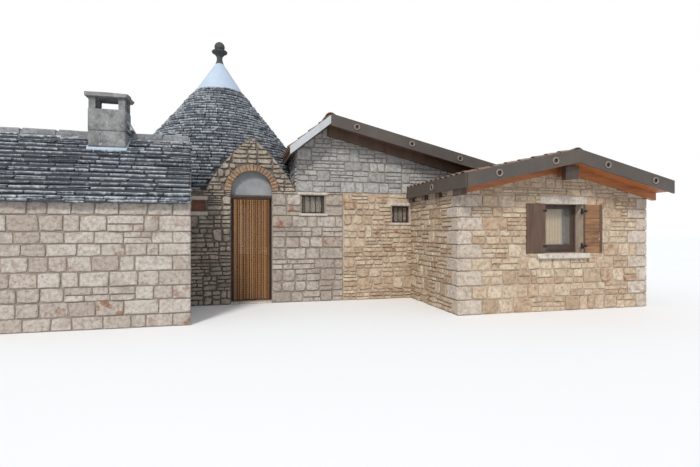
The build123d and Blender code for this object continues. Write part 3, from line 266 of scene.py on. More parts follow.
@dataclass(frozen=True)
class StoneFinish(Finish):
    """Weathered limestone, with a tone for each stone."""

    tones: tuple[Colour, ...]
    stain: Colour
    stain_share: float
    lichen: Colour
    lichen_share: float
    rust_share: float = 0.0
    grain: float = 1.0
    relief: float = 0.006

    def paint(self, tree: MaterialTree) -> None:
        """Paints each stone by its tone, with specks, blotches, stains, lichen and rust."""
        tone = tree.attribute("tone")
        own = tree.tones(tone, self.tones)
        cloud = tree.noise(5.0 * self.grain, 6.0, 0.6)
        base = tree.mix(0.55, tree.mix(tree.mask(cloud, 0.35, 0.75), own, self.tones[0]), own)
        speck = tree.noise(70.0 * self.grain, 5.0, 0.7)
        base = tree.speckle(base, 0.55, speck, (0.55, 0.53, 0.5))
        shades = [(0.36, (0.52, 0.49, 0.46)), (0.5, (0.94, 0.92, 0.9)), (0.66, (1.18, 1.18, 1.19))]
        base = tree.mix(0.8, base, tree.ramp(tree.noise(17.0 * self.grain, 7.0, 0.68), shades), "MULTIPLY")
        base = tree.patch(base, self.stain, tree.noise(2.3, 8.0, 0.7), 0.62 - 0.25 * self.stain_share, 0.16)
        growth = tree.noise(11.0, 7.0, 0.72)
        base = tree.patch(base, self.lichen, growth, 0.70 - 0.25 * self.lichen_share, 0.06)
        if self.rust_share:
            spots = tree.mask(tree.noise(6.5, 7.0, 0.62), 0.53, 0.62)
            stones = tree.mask(tone, 1 - self.rust_share, 1.0)
            rust = tree.ramp(tree.noise(22.0), [(0.3, (0.14, 0.055, 0.03)), (0.7, (0.32, 0.155, 0.085))])
            base = tree.mix(tree.math("MULTIPLY", spots, stones), base, rust)
        tree.colour(base)
        tree.shine(Roughness=0.9, Specular_IOR_Level=0.25)
        pits = tree.noise(26.0 * self.grain, 8.0, 0.65)
        tree.bump((pits, self.relief), (cloud, self.relief * 1.6), (speck, self.relief * 0.25))


@dataclass(frozen=True)
class SlabFinish(Finish):
    """Thin roof slabs, with painted shade on their lower part for the shadow between rows, and pale lichen
    along their upper edges.
    """

    tones: tuple[Colour, ...]
    # under: colour of the painted shade on each slab's lower part
    under: Colour
    lichen: Colour
    share: float

    def paint(self, tree: MaterialTree) -> None:
        """Paints the slabs by their tone and lip attributes, with painted shade low on each slab."""
        tone, lip = tree.attribute("tone"), tree.attribute("lip")
        speck = tree.noise(60.0, 5.0, 0.7)
        base = tree.speckle(tree.tones(tone, self.tones), 0.7, speck, (0.45, 0.46, 0.48))
        # Painted shade: the slab turns to the under colour where lip is low, for the shadow between rows
        base = tree.mix(tree.mask(lip, 0.75, 0.1), base, self.under)
        growth = tree.noise(13.0, 7.0, 0.72)
        reach = tree.weigh((growth, 1.0), (lip, 0.16), (tone, 0.10))
        low = 0.86 - 0.24 * self.share
        cover = tree.math("MULTIPLY", tree.mask(reach, low, low + 0.13), 0.85)
        tree.colour(tree.mix(cover, base, self.lichen))
        tree.shine(Roughness=0.88, Specular_IOR_Level=0.25)
        tree.bump((tree.noise(30.0, 8.0, 0.65), 0.006), (growth, 0.006), (speck, 0.0015))


@dataclass(frozen=True)
class BeadFinish(Finish):
    """Varnished wooden beads, in a tone for each strand."""

    tones: tuple[Colour, ...]

    def paint(self, tree: MaterialTree) -> None:
        """Paints the beads by their tone attribute."""
        grain = tree.noise(60.0, 3.0, 0.6)
        own = tree.tones(tree.attribute("tone"), self.tones)
        tree.colour(tree.speckle(own, 0.5, grain, (0.6, 0.55, 0.5)))
        tree.shine(Roughness=0.35)
        tree.bump((grain, 0.0004))


@dataclass(frozen=True)
class PlainFinish(Finish):
    """A smooth finish with slight mottling, such as paint, plaster or iron."""

    light: Colour
    dark: Colour
    scale: float
    roughness: float
    metallic: float = 0.0
    relief: float = 0.001

    def paint(self, tree: MaterialTree) -> None:
        """Mottles two colours."""
        cloud = tree.noise(self.scale, 8.0, 0.65)
        tree.colour(tree.ramp(cloud, [(0.3, self.dark), (0.7, self.light)]))
        tree.shine(Roughness=self.roughness, Metallic=self.metallic)
        tree.bump((tree.noise(self.scale * 9.0, 6.0), self.relief), (cloud, self.relief * 3.0))


@dataclass(frozen=True)
class TimberFinish(Finish):
    """Stained timber with grain along one axis."""

    light: Colour
    dark: Colour
    along: Place
    roughness: float

    def paint(self, tree: MaterialTree) -> None:
        """Draws long grain streaks along the given axis."""
        streak = tree.noise(22.0, 7.0, 0.6, self.along)
        broad = tree.noise(5.0, 4.0, 0.6, self.along)
        grain = tree.weigh((streak, 0.6), (broad, 0.4))
        tree.colour(tree.ramp(grain, [(0.36, self.dark), (0.62, self.light)]))
        tree.shine(Roughness=self.roughness)
        tree.bump((streak, 0.0025))


@dataclass(frozen=True)
class GlassFinish(Finish):
    """Clear window glass."""

    tint: Colour

    def paint(self, tree: MaterialTree) -> None:
        """Sets the glass's transmission on the shader."""
        tree.colour(self.tint)
        tree.shine(Roughness=0.03, Transmission_Weight=0.9, IOR=1.45)


def stone_finishes() -> list[Finish]:
    """Lists the finishes of stones, slabs and tiles."""
    return [
        StoneFinish("coursed_stone",
                    ((0.42, 0.36, 0.315), (0.52, 0.47, 0.425), (0.58, 0.535, 0.49), (0.47, 0.415, 0.37)),
                    (0.30, 0.25, 0.215), 0.30, (0.22, 0.20, 0.18), 0.25, 0.34, relief=0.012),
        StoneFinish("pier_stone",
                    ((0.38, 0.325, 0.28), (0.47, 0.415, 0.365), (0.54, 0.49, 0.44), (0.43, 0.36, 0.305)),
                    (0.25, 0.215, 0.19), 0.4, (0.19, 0.18, 0.17), 0.4, 0.2, relief=0.010),
        StoneFinish("rubble_stone",
                    ((0.43, 0.315, 0.215), (0.58, 0.47, 0.35), (0.67, 0.565, 0.44), (0.56, 0.43, 0.31),
                     (0.51, 0.37, 0.26)),
                    (0.38, 0.275, 0.185), 0.3, (0.26, 0.20, 0.155), 0.2, 0.2, relief=0.010),
        StoneFinish("quoin_stone",
                    ((0.52, 0.445, 0.375), (0.60, 0.53, 0.46)),
                    (0.43, 0.345, 0.275), 0.35, (0.34, 0.29, 0.25), 0.12, 0.1, relief=0.008),
        StoneFinish("rough_stone",
                    ((0.31, 0.26, 0.21), (0.44, 0.38, 0.315), (0.53, 0.47, 0.40), (0.37, 0.31, 0.25)),
                    (0.19, 0.17, 0.15), 0.45, (0.14, 0.13, 0.12), 0.45, 0.1, relief=0.014),
        StoneFinish("gable_stone",
                    ((0.33, 0.33, 0.325), (0.43, 0.43, 0.425), (0.50, 0.495, 0.48), (0.38, 0.38, 0.38)),
                    (0.27, 0.265, 0.26), 0.35, (0.21, 0.205, 0.20), 0.3, relief=0.009),
        StoneFinish("arch_stone",
                    ((0.34, 0.205, 0.125), (0.43, 0.30, 0.20), (0.29, 0.175, 0.11)),
                    (0.22, 0.15, 0.11), 0.4, (0.18, 0.15, 0.12), 0.3, relief=0.009),
        StoneFinish("dressed_stone",
                    ((0.56, 0.505, 0.445), (0.62, 0.57, 0.51)),
                    (0.47, 0.41, 0.35), 0.3, (0.44, 0.40, 0.35), 0.1, relief=0.003),
        StoneFinish("ridge_stone",
                    ((0.28, 0.29, 0.305), (0.37, 0.38, 0.39), (0.32, 0.33, 0.34)),
                    (0.18, 0.185, 0.195), 0.4, (0.42, 0.44, 0.45), 0.4, relief=0.006),
        StoneFinish("grey_stone",
                    ((0.235, 0.24, 0.245), (0.33, 0.335, 0.34), (0.29, 0.295, 0.30)),
                    (0.12, 0.12, 0.125), 0.6, (0.44, 0.45, 0.45), 0.4, grain=0.6, relief=0.007),
        StoneFinish("pinnacle_stone",
                    ((0.09, 0.10, 0.10), (0.14, 0.15, 0.15)),
                    (0.055, 0.06, 0.06), 0.5, (0.24, 0.26, 0.25), 0.2, grain=1.5, relief=0.004),
        StoneFinish("clay_tile",
                    ((0.22, 0.14, 0.105), (0.31, 0.20, 0.15), (0.26, 0.185, 0.15), (0.18, 0.13, 0.105)),
                    (0.13, 0.105, 0.09), 0.4, (0.29, 0.275, 0.24), 0.35, grain=1.6, relief=0.003),
        # The slab stone's third colour is the painted shade at the foot of each slab
        SlabFinish("slab_stone",
                   ((0.135, 0.152, 0.18), (0.222, 0.242, 0.272), (0.325, 0.345, 0.37), (0.175, 0.193, 0.222)),
                   (0.035, 0.038, 0.045), (0.505, 0.54, 0.565), 0.9),
    ]


def plain_finishes() -> list[Finish]:
    """Lists the finishes of mortar, plaster, paint, metal and cloth."""
    return [
        PlainFinish("mortar", (0.31, 0.26, 0.215), (0.20, 0.165, 0.135), 9.0, 0.95, relief=0.006),
        PlainFinish("sandy_mortar", (0.50, 0.41, 0.32), (0.36, 0.29, 0.22), 9.0, 0.95, relief=0.006),
        PlainFinish("dark_mortar", (0.20, 0.165, 0.13), (0.10, 0.085, 0.07), 9.0, 0.95, relief=0.008),
        PlainFinish("slab_shadow", (0.065, 0.067, 0.075), (0.035, 0.036, 0.042), 7.0, 0.95, relief=0.004),
        PlainFinish("lime_plaster", (0.45, 0.53, 0.63), (0.37, 0.45, 0.55), 3.0, 0.75, relief=0.003),
        PlainFinish("grey_render", (0.30, 0.305, 0.315), (0.20, 0.205, 0.215), 4.0, 0.85, relief=0.003),
        PlainFinish("verge_render", (0.50, 0.52, 0.54), (0.38, 0.40, 0.42), 3.0, 0.85, relief=0.003),
        PlainFinish("fascia_paint", (0.088, 0.070, 0.058), (0.060, 0.049, 0.042), 2.0, 0.5, relief=0.0006),
        # Plug rings painted lighter than the fascia as a painted highlight
        PlainFinish("ring_painted_highlight", (0.27, 0.215, 0.18), (0.19, 0.15, 0.125), 9.0, 0.55, relief=0.0006),
        PlainFinish("black_iron", (0.03, 0.03, 0.032), (0.015, 0.015, 0.016), 20.0, 0.45, 0.6),
        PlainFinish("brass_metal", (0.55, 0.42, 0.2), (0.42, 0.31, 0.14), 20.0, 0.3, 1.0, 0.0002),
        # Cream lace, brightened and warmed as painted lamp glow from inside the room
        PlainFinish("lace_with_painted_glow", (0.88, 0.74, 0.50), (0.70, 0.54, 0.33), 38.0, 0.9),
        # The same lace darkened as painted shade, for the small windows
        PlainFinish("lace_in_painted_shade", (0.46, 0.36, 0.24), (0.30, 0.225, 0.14), 38.0, 0.9),
        GlassFinish("clear_glass", (0.84, 0.815, 0.77)),
    ]


def timber_finishes() -> list[Finish]:
    """Lists the finishes of timber, with grain along X or upright."""
    across, upright = (0.12, 1.0, 1.0), (1.0, 1.0, 0.12)
    beads = ((0.10, 0.034, 0.012), (0.27, 0.105, 0.03), (0.46, 0.215, 0.065), (0.60, 0.36, 0.14))
    return [
        TimberFinish("brown_timber", (0.42, 0.155, 0.05), (0.24, 0.08, 0.03), across, 0.45),
        TimberFinish("soffit_timber", (0.46, 0.155, 0.045), (0.27, 0.085, 0.028), across, 0.45),
        TimberFinish("dark_wood", (0.085, 0.052, 0.040), (0.042, 0.027, 0.022), upright, 0.4),
        TimberFinish("board_wood", (0.30, 0.145, 0.055), (0.11, 0.05, 0.026), across, 0.5),
        # Shutter wood also stands as painted shade on the main house's soffits and rafter
        TimberFinish("shutter_wood", (0.12, 0.066, 0.040), (0.062, 0.035, 0.024), upright, 0.5),
        TimberFinish("red_brown_wood", (0.24, 0.095, 0.05), (0.13, 0.05, 0.03), across, 0.45),
        BeadFinish("bead_wood", beads),
    ]


# Geometry node trees


class GeometryTree(Tree):
    """A geometry node tree with inputs Roughness, Grain and Material, and more by name."""

    def __init__(self, name: str) -> None:
        """Starts the tree with its geometry sockets and the inputs that all trees share."""
        super().__init__(bpy.data.node_groups.new(name, "GeometryNodeTree"))
        for way in ("INPUT", "OUTPUT"):
            self.tree.interface.new_socket("Geometry", in_out=way, socket_type="NodeSocketGeometry")
        self.entry = self.tree.nodes.new("NodeGroupInput")
        self.exit = self.tree.nodes.new("NodeGroupOutput")
        self.rough = self.value("Roughness")
        self.grain = self.value("Grain")
        self.material = self.value("Material", "Material")

    @property
    def start(self) -> bpy.types.NodeSocket:
        """The geometry that comes in."""
        return self.entry.outputs["Geometry"]

    def value(self, name: str, kind: str = "Float") -> bpy.types.NodeSocket:
        """Adds a named input and returns its socket inside the tree."""
        self.tree.interface.new_socket(name, in_out="INPUT", socket_type=f"NodeSocket{kind}")
        return self.entry.outputs[name]

    def named(self, name: str, kind: str = "FLOAT") -> bpy.types.NodeSocket:
        """Reads a named attribute."""
        node = self.add("GeometryNodeInputNamedAttribute", {"data_type": kind}, Name=name)
        return next(s for s in node.outputs if s.enabled and s.name == "Attribute")

    def roughen(self, geometry: bpy.types.NodeSocket) -> bpy.types.NodeSocket:
        """Pushes points about by a noise, as far as Roughness says, in lumps sized by Grain.

        Args:
            geometry: The geometry socket to move.

        Returns:
            The moved geometry.
        """
        place = self.add("GeometryNodeInputPosition").outputs[0]
        noise = self.add("ShaderNodeTexNoise", Vector=place, Scale=self.grain, Detail=2.0)
        centred = self.add("ShaderNodeVectorMath", {"operation": "SUBTRACT"})
        self.feed(centred.inputs[0], noise.outputs["Color"])
        self.feed(centred.inputs[1], (0.5, 0.5, 0.5))
        push = self.add("ShaderNodeVectorMath", {"operation": "SCALE"})
        self.feed(push.inputs[0], centred.outputs[0])
        self.feed(push.inputs["Scale"], self.rough)
        return self.add("GeometryNodeSetPosition", Geometry=geometry, Offset=push.outputs[0]).outputs[0]

    def close(self, geometry: bpy.types.NodeSocket) -> bpy.types.NodeTree:
        """Ends the tree with realized instances and a material."""
        real = self.add("GeometryNodeRealizeInstances", Geometry=geometry).outputs[0]
        done = self.add("GeometryNodeSetMaterial", Geometry=real, Material=self.material).outputs[0]
        self.feed(self.exit.inputs[0], done)
        return self.tree


def stone_tree() -> bpy.types.NodeTree:
    """Builds the tree that raises flat cells into dressed stones.

    Returns:
        A tree with the shared inputs, Relief and Crown.
    """
    tree = GeometryTree("raise_stones")
    relief, crown = tree.value("Relief"), tree.value("Crown")
    height = tree.math("MULTIPLY", relief, tree.named("proud"))
    mesh, chosen = tree.start, {}
    for share in (0.6, 0.4):
        raised = tree.add("GeometryNodeExtrudeMesh", {"mode": "FACES"}, Mesh=mesh, Individual=True,
                          Offset_Scale=tree.math("MULTIPLY", height, share), **chosen)
        mesh, chosen = raised.outputs["Mesh"], {"Selection": raised.outputs["Top"]}
    crowned = tree.add("GeometryNodeScaleElements", Geometry=mesh, Scale=crown, **chosen).outputs[0]
    bed = tree.add("GeometryNodeFlipFaces", Mesh=tree.start).outputs[0]
    joined = tree.add("GeometryNodeJoinGeometry")
    for part in (crowned, bed):
        tree.feed(joined.inputs[0], tree.roughen(part))
    merged = tree.add("GeometryNodeMergeByDistance", Geometry=joined.outputs[0], Distance=0.0001)
    return tree.close(merged.outputs[0])


def scatter_tree() -> bpy.types.NodeTree:
    """Builds the tree that sets one piece on every point, turned and scaled by attributes.

    Returns:
        A tree with the shared inputs and Piece.
    """
    tree = GeometryTree("scatter_pieces")
    shape = tree.add("GeometryNodeObjectInfo", Object=tree.value("Piece", "Object")).outputs["Geometry"]
    turn = tree.add("FunctionNodeEulerToRotation", Euler=tree.named("turn", "FLOAT_VECTOR")).outputs[0]
    placed = tree.add("GeometryNodeInstanceOnPoints", Points=tree.start, Instance=shape, Rotation=turn,
                      Scale=tree.named("size", "FLOAT_VECTOR")).outputs[0]
    real = tree.add("GeometryNodeRealizeInstances", Geometry=placed).outputs[0]
    return tree.close(tree.roughen(real))


def weather_tree() -> bpy.types.NodeTree:
    """Builds the tree that wears a smooth shape by a noise.

    Returns:
        A tree with the shared inputs.
    """
    tree = GeometryTree("weather_shape")
    return tree.close(tree.roughen(tree.start))


def bake(obj: bpy.types.Object) -> bpy.types.Object:
    """Applies an object's modifiers and leaves a plain mesh."""
    graph = bpy.context.evaluated_depsgraph_get()
    mesh = bpy.data.meshes.new_from_object(obj.evaluated_get(graph), depsgraph=graph)
    obj.modifiers.clear()
    obj.data = mesh
    return obj


def run_tree(obj: bpy.types.Object, tree: bpy.types.NodeTree, values: dict) -> bpy.types.Object:
    """Runs a tree on an object and keeps the result as a plain mesh.

    Args:
        obj: The object whose mesh goes in.
        tree: The geometry node tree.
        values: The tree's inputs by name.

    Returns:
        The same object, with its new mesh and no modifier.
    """
    modifier = obj.modifiers.new("build", "NODES")
    modifier.node_group = tree
    for item in tree.interface.items_tree:
        if item.name in values:
            modifier[item.identifier] = values[item.name]
    obj.update_tag()
    return bake(obj)


def new_object(name: str, vertices: list[Place], faces: list) -> bpy.types.Object:
    """Makes a mesh object in the scene from points and faces."""
    mesh = bpy.data.meshes.new(name)
    mesh.from_pydata(vertices, [], faces)
    mesh.update()
    obj = bpy.data.objects.new(name, mesh)
    bpy.context.scene.collection.objects.link(obj)
    return obj


def add_attribute(obj: bpy.types.Object, name: str, domain: str, values: list) -> None:
    """Stores one value or vector per face or point under a name."""
    vectors = isinstance(values[0], tuple)
    layer = obj.data.attributes.new(name, "FLOAT_VECTOR" if vectors else "FLOAT", domain)
    flat = [c for v in values for c in v] if vectors else list(values)
    layer.data.foreach_set("vector" if vectors else "value", flat)


def keep(obj: bpy.types.Object) -> bpy.types.Object:
    """Gives a finished piece to the house, and reports it."""
    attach(obj, HOUSE)
    log.info("%s: %d faces", obj.name, len(obj.data.polygons))
    return obj


def shell_faces(rings: int, sides: int) -> list[tuple[int, ...]]:
    """Faces of a closed stack of rings, whose points run ring by ring."""
    last = (rings - 1) * sides
    faces = [tuple(reversed(range(sides))), tuple(range(last, last + sides))]
    for ring in range(0, last, sides):
        for i in range(sides):
            a, b = ring + i, ring + (i + 1) % sides
            faces.append((a, b, b + sides, a + sides))
    return faces


def turned(name: str, profile: list[Point], sides: int) -> bpy.types.Object:
    """Makes a closed round shape about the Z axis.

    Args:
        name: Name of the object.
        profile: Radius and height of each ring, the first and last closed by a flat face.
        sides: Number of sides.

    Returns:
        The object, in the scene.
    """
    rings = [(max(r, 0.0005), z) for r, z in profile]
    circle = [(math.cos(math.tau * i / sides), math.sin(math.tau * i / sides)) for i in range(sides)]
    points = [(r * x, r * y, z) for r, z in rings for x, y in circle]
    faces = shell_faces(len(rings), sides)
    volume = sum((b[0] ** 2 + a[0] * b[0] + a[0] ** 2) * (b[1] - a[1]) for a, b in pairwise(rings))
    if volume < 0:
        faces = [tuple(reversed(f)) for f in faces]
    return new_object(name, points, faces)


class Workshop:
    """The shared finishes, trees and patterns, and the ways in which pieces are made of them."""

    def __init__(self) -> None:
        """Builds the finishes, the trees and the patterns."""
        finishes = (*stone_finishes(), *plain_finishes(), *timber_finishes())
        self.palette = {finish.name: finish.material() for finish in finishes}
        self.stones = stone_tree()
        self.scatter = scatter_tree()
        self.weather = weather_tree()
        self.slab = self.slab_piece()
        self.tile = self.tile_piece()
        barrel = [(0.22, -0.5), (0.46, -0.3), (0.5, 0.0), (0.46, 0.3), (0.22, 0.5)]
        self.bead = self.hide(turned("bead_pattern", barrel, 6))
        dish = [(0.0, -0.2), (0.0, -0.06), (0.19, -0.06), (0.21, 0.06), (0.33, 0.08), (0.36, 0.30),
                (0.43, 0.36), (0.50, 0.28), (0.50, -0.2)]
        self.plug = self.hide(turned("plug_pattern", dish, 20))

    @staticmethod
    def hide(obj: bpy.types.Object) -> bpy.types.Object:
        """Keeps a pattern piece out of the scene, for use in trees only."""
        bpy.context.scene.collection.objects.unlink(obj)
        return obj

    def slab_piece(self) -> bpy.types.Object:
        """Makes an irregular flat stone, one metre each way, with its outer edge at x = 0."""
        rng = random.Random(5)
        outline = [(0.0, -0.47), (0.02, -0.2), (-0.01, 0.1), (0.015, 0.46), (-0.5, 0.5), (-1.0, 0.48),
                   (-1.0, -0.48), (-0.5, -0.5)]
        low = [(x - 0.05 * (x > -0.2), y * 0.985, -0.5 + rng.uniform(-0.04, 0.04)) for x, y in outline]
        high = [(x, y, 0.30 + rng.uniform(-0.06, 0.06)) for x, y in outline]
        cap = [(x * 0.95 - 0.04, y * 0.95, 0.5) for x, y in outline]
        count = len(outline)
        obj = new_object("slab_pattern", low + high + cap, shell_faces(3, count))
        # lip runs from 0 at the slab's foot to 1 at its top; the slab finish paints shade where it is low and
        # lichen where it is high
        add_attribute(obj, "lip", "POINT", [0.0] * count + [0.85] * count + [1.0] * count)
        return self.hide(obj)

    def tile_piece(self) -> bpy.types.Object:
        """Makes a tapered barrel tile, its lower end at x = 0 and its axis along -X."""
        steps, thick, taper = 8, 0.06, 0.88
        arc = [(math.cos(math.pi * i / steps), math.sin(math.pi * i / steps)) for i in range(steps + 1)]
        points = [(x, c * radius * grow, s * radius * grow) for x, grow in ((0.0, 1.0), (-1.0, taper))
                  for radius in (0.5, 0.5 - thick) for c, s in arc]
        row = steps + 1
        faces = []
        for i in range(steps):
            front_out, front_in, back_out, back_in = (i + row * ring for ring in range(4))
            pairs = ((front_out, back_out), (back_in, front_in), (front_in, front_out), (back_out, back_in))
            faces += [(a, a + 1, b + 1, b) for a, b in pairs]
        faces.append((0, 2 * row, 3 * row, row))
        faces.append((steps, row + steps, 3 * row + steps, 2 * row + steps))
        return self.hide(new_object("tile_pattern", points, faces))

    def dress(self, finish: str, *nodes: str) -> None:
        """Gives CAD nodes a finish."""
        for node in nodes:
            materials = frame["nodes"][node].data.materials
            materials.clear()
            materials.append(self.palette[finish])

    def run(self, obj: bpy.types.Object, tree: bpy.types.NodeTree, finish: str, slot: str, rough: float,
            grain: float, **values) -> bpy.types.Object:
        """Runs a tree on an object and keeps the piece that comes out.

        Args:
            obj: The object whose mesh goes in.
            tree: The geometry node tree.
            finish: The finish of the piece.
            slot: Not used.
            rough: How far points are pushed about, in metres.
            grain: Scale of that push.
            **values: The tree's other inputs.

        Returns:
            The finished piece.
        """
        values |= {"Roughness": rough, "Grain": grain, "Material": self.palette[finish]}
        return keep(run_tree(obj, tree, values))

    def place(self, name: str, copies: list[Copy], piece: bpy.types.Object, finish: str, slot: str,
              rough: float = 0.0, grain: float = 9.0) -> bpy.types.Object:
        """Sets copies of one pattern on points and joins them in one piece.

        Args:
            name: Name of the finished object.
            copies: Place, turn about X, Y and Z in radians, size and tone of each copy.
            piece: The pattern.
            finish: The finish.
            slot: Not used.
            rough: How far points are pushed about, in metres.
            grain: Scale of that push.

        Returns:
            The finished piece.
        """
        places, turns, sizes, tones = zip(*copies)
        obj = new_object(name, places, [])
        for key, values in (("turn", turns), ("size", sizes), ("tone", tones)):
            add_attribute(obj, key, "POINT", values)
        return self.run(obj, self.scatter, finish, slot, rough, grain, Piece=piece)

    def raise_stones(self, name: str, cells: list[Cell], relief: float, rough: float, finish: str,
                     slot: str) -> bpy.types.Object:
        """Raises flat outlines into stones.

        Args:
            name: Name of the piece.
            cells: Corners in space, tone, and height as a share of the relief, of each stone.
            relief: How far a stone stands out, in metres.
            rough: How far its points are pushed about.
            finish: The finish.
            slot: Not used.

        Returns:
            The finished piece.
        """
        outlines, tones, proud = zip(*cells)
        vertices, faces = [], []
        for points in outlines:
            faces.append(tuple(range(len(vertices), len(vertices) + len(points))))
            vertices += points
        obj = new_object(name, vertices, faces)
        add_attribute(obj, "tone", "FACE", tones)
        add_attribute(obj, "proud", "FACE", proud)
        return self.run(obj, self.stones, finish, slot, rough, 14.0, Relief=relief, Crown=0.88)

    def block(self, name: str, boxes: list[Box], finish: str, chamfer: float = 0.004,
              seed: int = 1, follow: Callable[[Vector], float] | None = None) -> bpy.types.Object:
        """Builds one piece out of boards, bars or blocks with chamfered edges.

        Args:
            name: Name of the piece.
            boxes: Lowest and highest corner of each box.
            finish: The finish.
            chamfer: Width of the chamfers in metres.
            seed: Seed of the tones.
            follow: Optional height of the slope that the boxes lie along, at a point.

        Returns:
            The finished piece.
        """
        obj = chamfered(name, boxes, chamfer)
        if follow:
            for point in obj.data.vertices:
                point.co.z += follow(point.co)
        rng = random.Random(seed)
        tones = [rng.random() for _ in boxes]
        faces = len(obj.data.polygons) // len(boxes)
        add_attribute(obj, "tone", "FACE", [tone for tone in tones for _ in range(faces)])
        obj.data.materials.append(self.palette[finish])
        return keep(obj)


def corner(index: dict, axis: int, side: int, a: int, b: int, facing: int) -> int:
    """Finds a chamfered box's vertex by its signs along one axis and the other two, and by its face."""
    signs = [a, b]
    signs.insert(axis, side)
    return index[(*signs, facing)]


def chamfered(name: str, boxes: list[Box], chamfer: float) -> bpy.types.Object:
    """Makes one mesh of boxes with chamfered edges.

    Args:
        name: Name of the object.
        boxes: Lowest and highest corner of each box.
        chamfer: Width of the chamfer in metres.

    Returns:
        The object, in the scene.
    """
    vertices, faces = [], []
    for low, high in boxes:
        low, high = Vector(low), Vector(high)
        half, middle = (high - low) / 2, (high + low) / 2
        cut = min(chamfer, *(h * 0.45 for h in half))
        index = {}
        for *signs, facing in product((-1, 1), (-1, 1), (-1, 1), range(3)):
            index[(*signs, facing)] = len(vertices)
            reach = [signs[i] * (half[i] - cut * (i != facing)) for i in range(3)]
            vertices.append(tuple(middle[i] + reach[i] for i in range(3)))
        loops = [[index[(*signs, facing)] for facing in range(3)] for signs in product((-1, 1), repeat=3)]
        for axis in range(3):
            first, second = (i for i in range(3) if i != axis)
            for side in (-1, 1):
                loops.append([corner(index, axis, side, a, b, axis) for a, b in rectangle(-1, -1, 1, 1)])
            for a, b in product((-1, 1), repeat=2):
                ends = ((-1, first), (1, first), (1, second), (-1, second))
                loops.append([corner(index, axis, side, a, b, facing) for side, facing in ends])
        for loop in loops:
            points = [Vector(vertices[i]) for i in loop]
            normal = (points[1] - points[0]).cross(points[2] - points[1])
            centre = sum(points, Vector()) / len(points)
            faces.append(tuple(loop if normal.dot(centre - middle) > 0 else reversed(loop)))
    return new_object(name, vertices, faces)


def frame_bars(low: Place, high: Place, stile: float, bottom: float, top: float) -> list[Box]:
    """Lists the two stiles, the bottom rail and the top rail of an upright frame.

    Args:
        low: The frame's lowest corner.
        high: Its highest corner.
        stile: Width of the stiles.
        bottom: Height of the bottom rail.
        top: Height of the top rail.

    Returns:
        The four bars.
    """
    (x0, y0, z0), (x1, y1, z1) = low, high
    left, right = x0 + stile, x1 - stile
    return [((x0, y0, z0), (left, y1, z1)), ((right, y0, z0), (x1, y1, z1)),
            ((left, y0, z0), (right, y1, z0 + bottom)), ((left, y0, z1 - top), (right, y1, z1))]


def clip(points: list[Point], outline: list[Point]) -> list[Point]:
    """Clips a polygon by a convex outline given counter-clockwise.

    Args:
        points: Corners of the polygon.
        outline: Corners of the convex outline.

    Returns:
        The corners of what is left, which may be none.
    """
    for start, end in zip(outline, outline[1:] + outline[:1]):
        along = (end[0] - start[0], end[1] - start[1])
        sides = [along[0] * (p[1] - start[1]) - along[1] * (p[0] - start[0]) for p in points]
        kept = []
        for i, p in enumerate(points):
            q, a, b = points[i - 1], sides[i - 1], sides[i]
            if (a < 0) != (b < 0):
                t = a / (a - b)
                kept.append((q[0] + (p[0] - q[0]) * t, q[1] + (p[1] - q[1]) * t))
            if b >= 0:
                kept.append(p)
        points = kept
        if len(points) < 3:
            return []
    return points


def area(points: list[Point]) -> float:
    """Area of a polygon, positive when it runs counter-clockwise."""
    return sum(a[0] * b[1] - b[0] * a[1] for a, b in zip(points, points[1:] + points[:1])) / 2


def middle_of(points: list[Point]) -> Point:
    """Middle of a polygon's corners."""
    return tuple(sum(values) / len(points) for values in zip(*points))


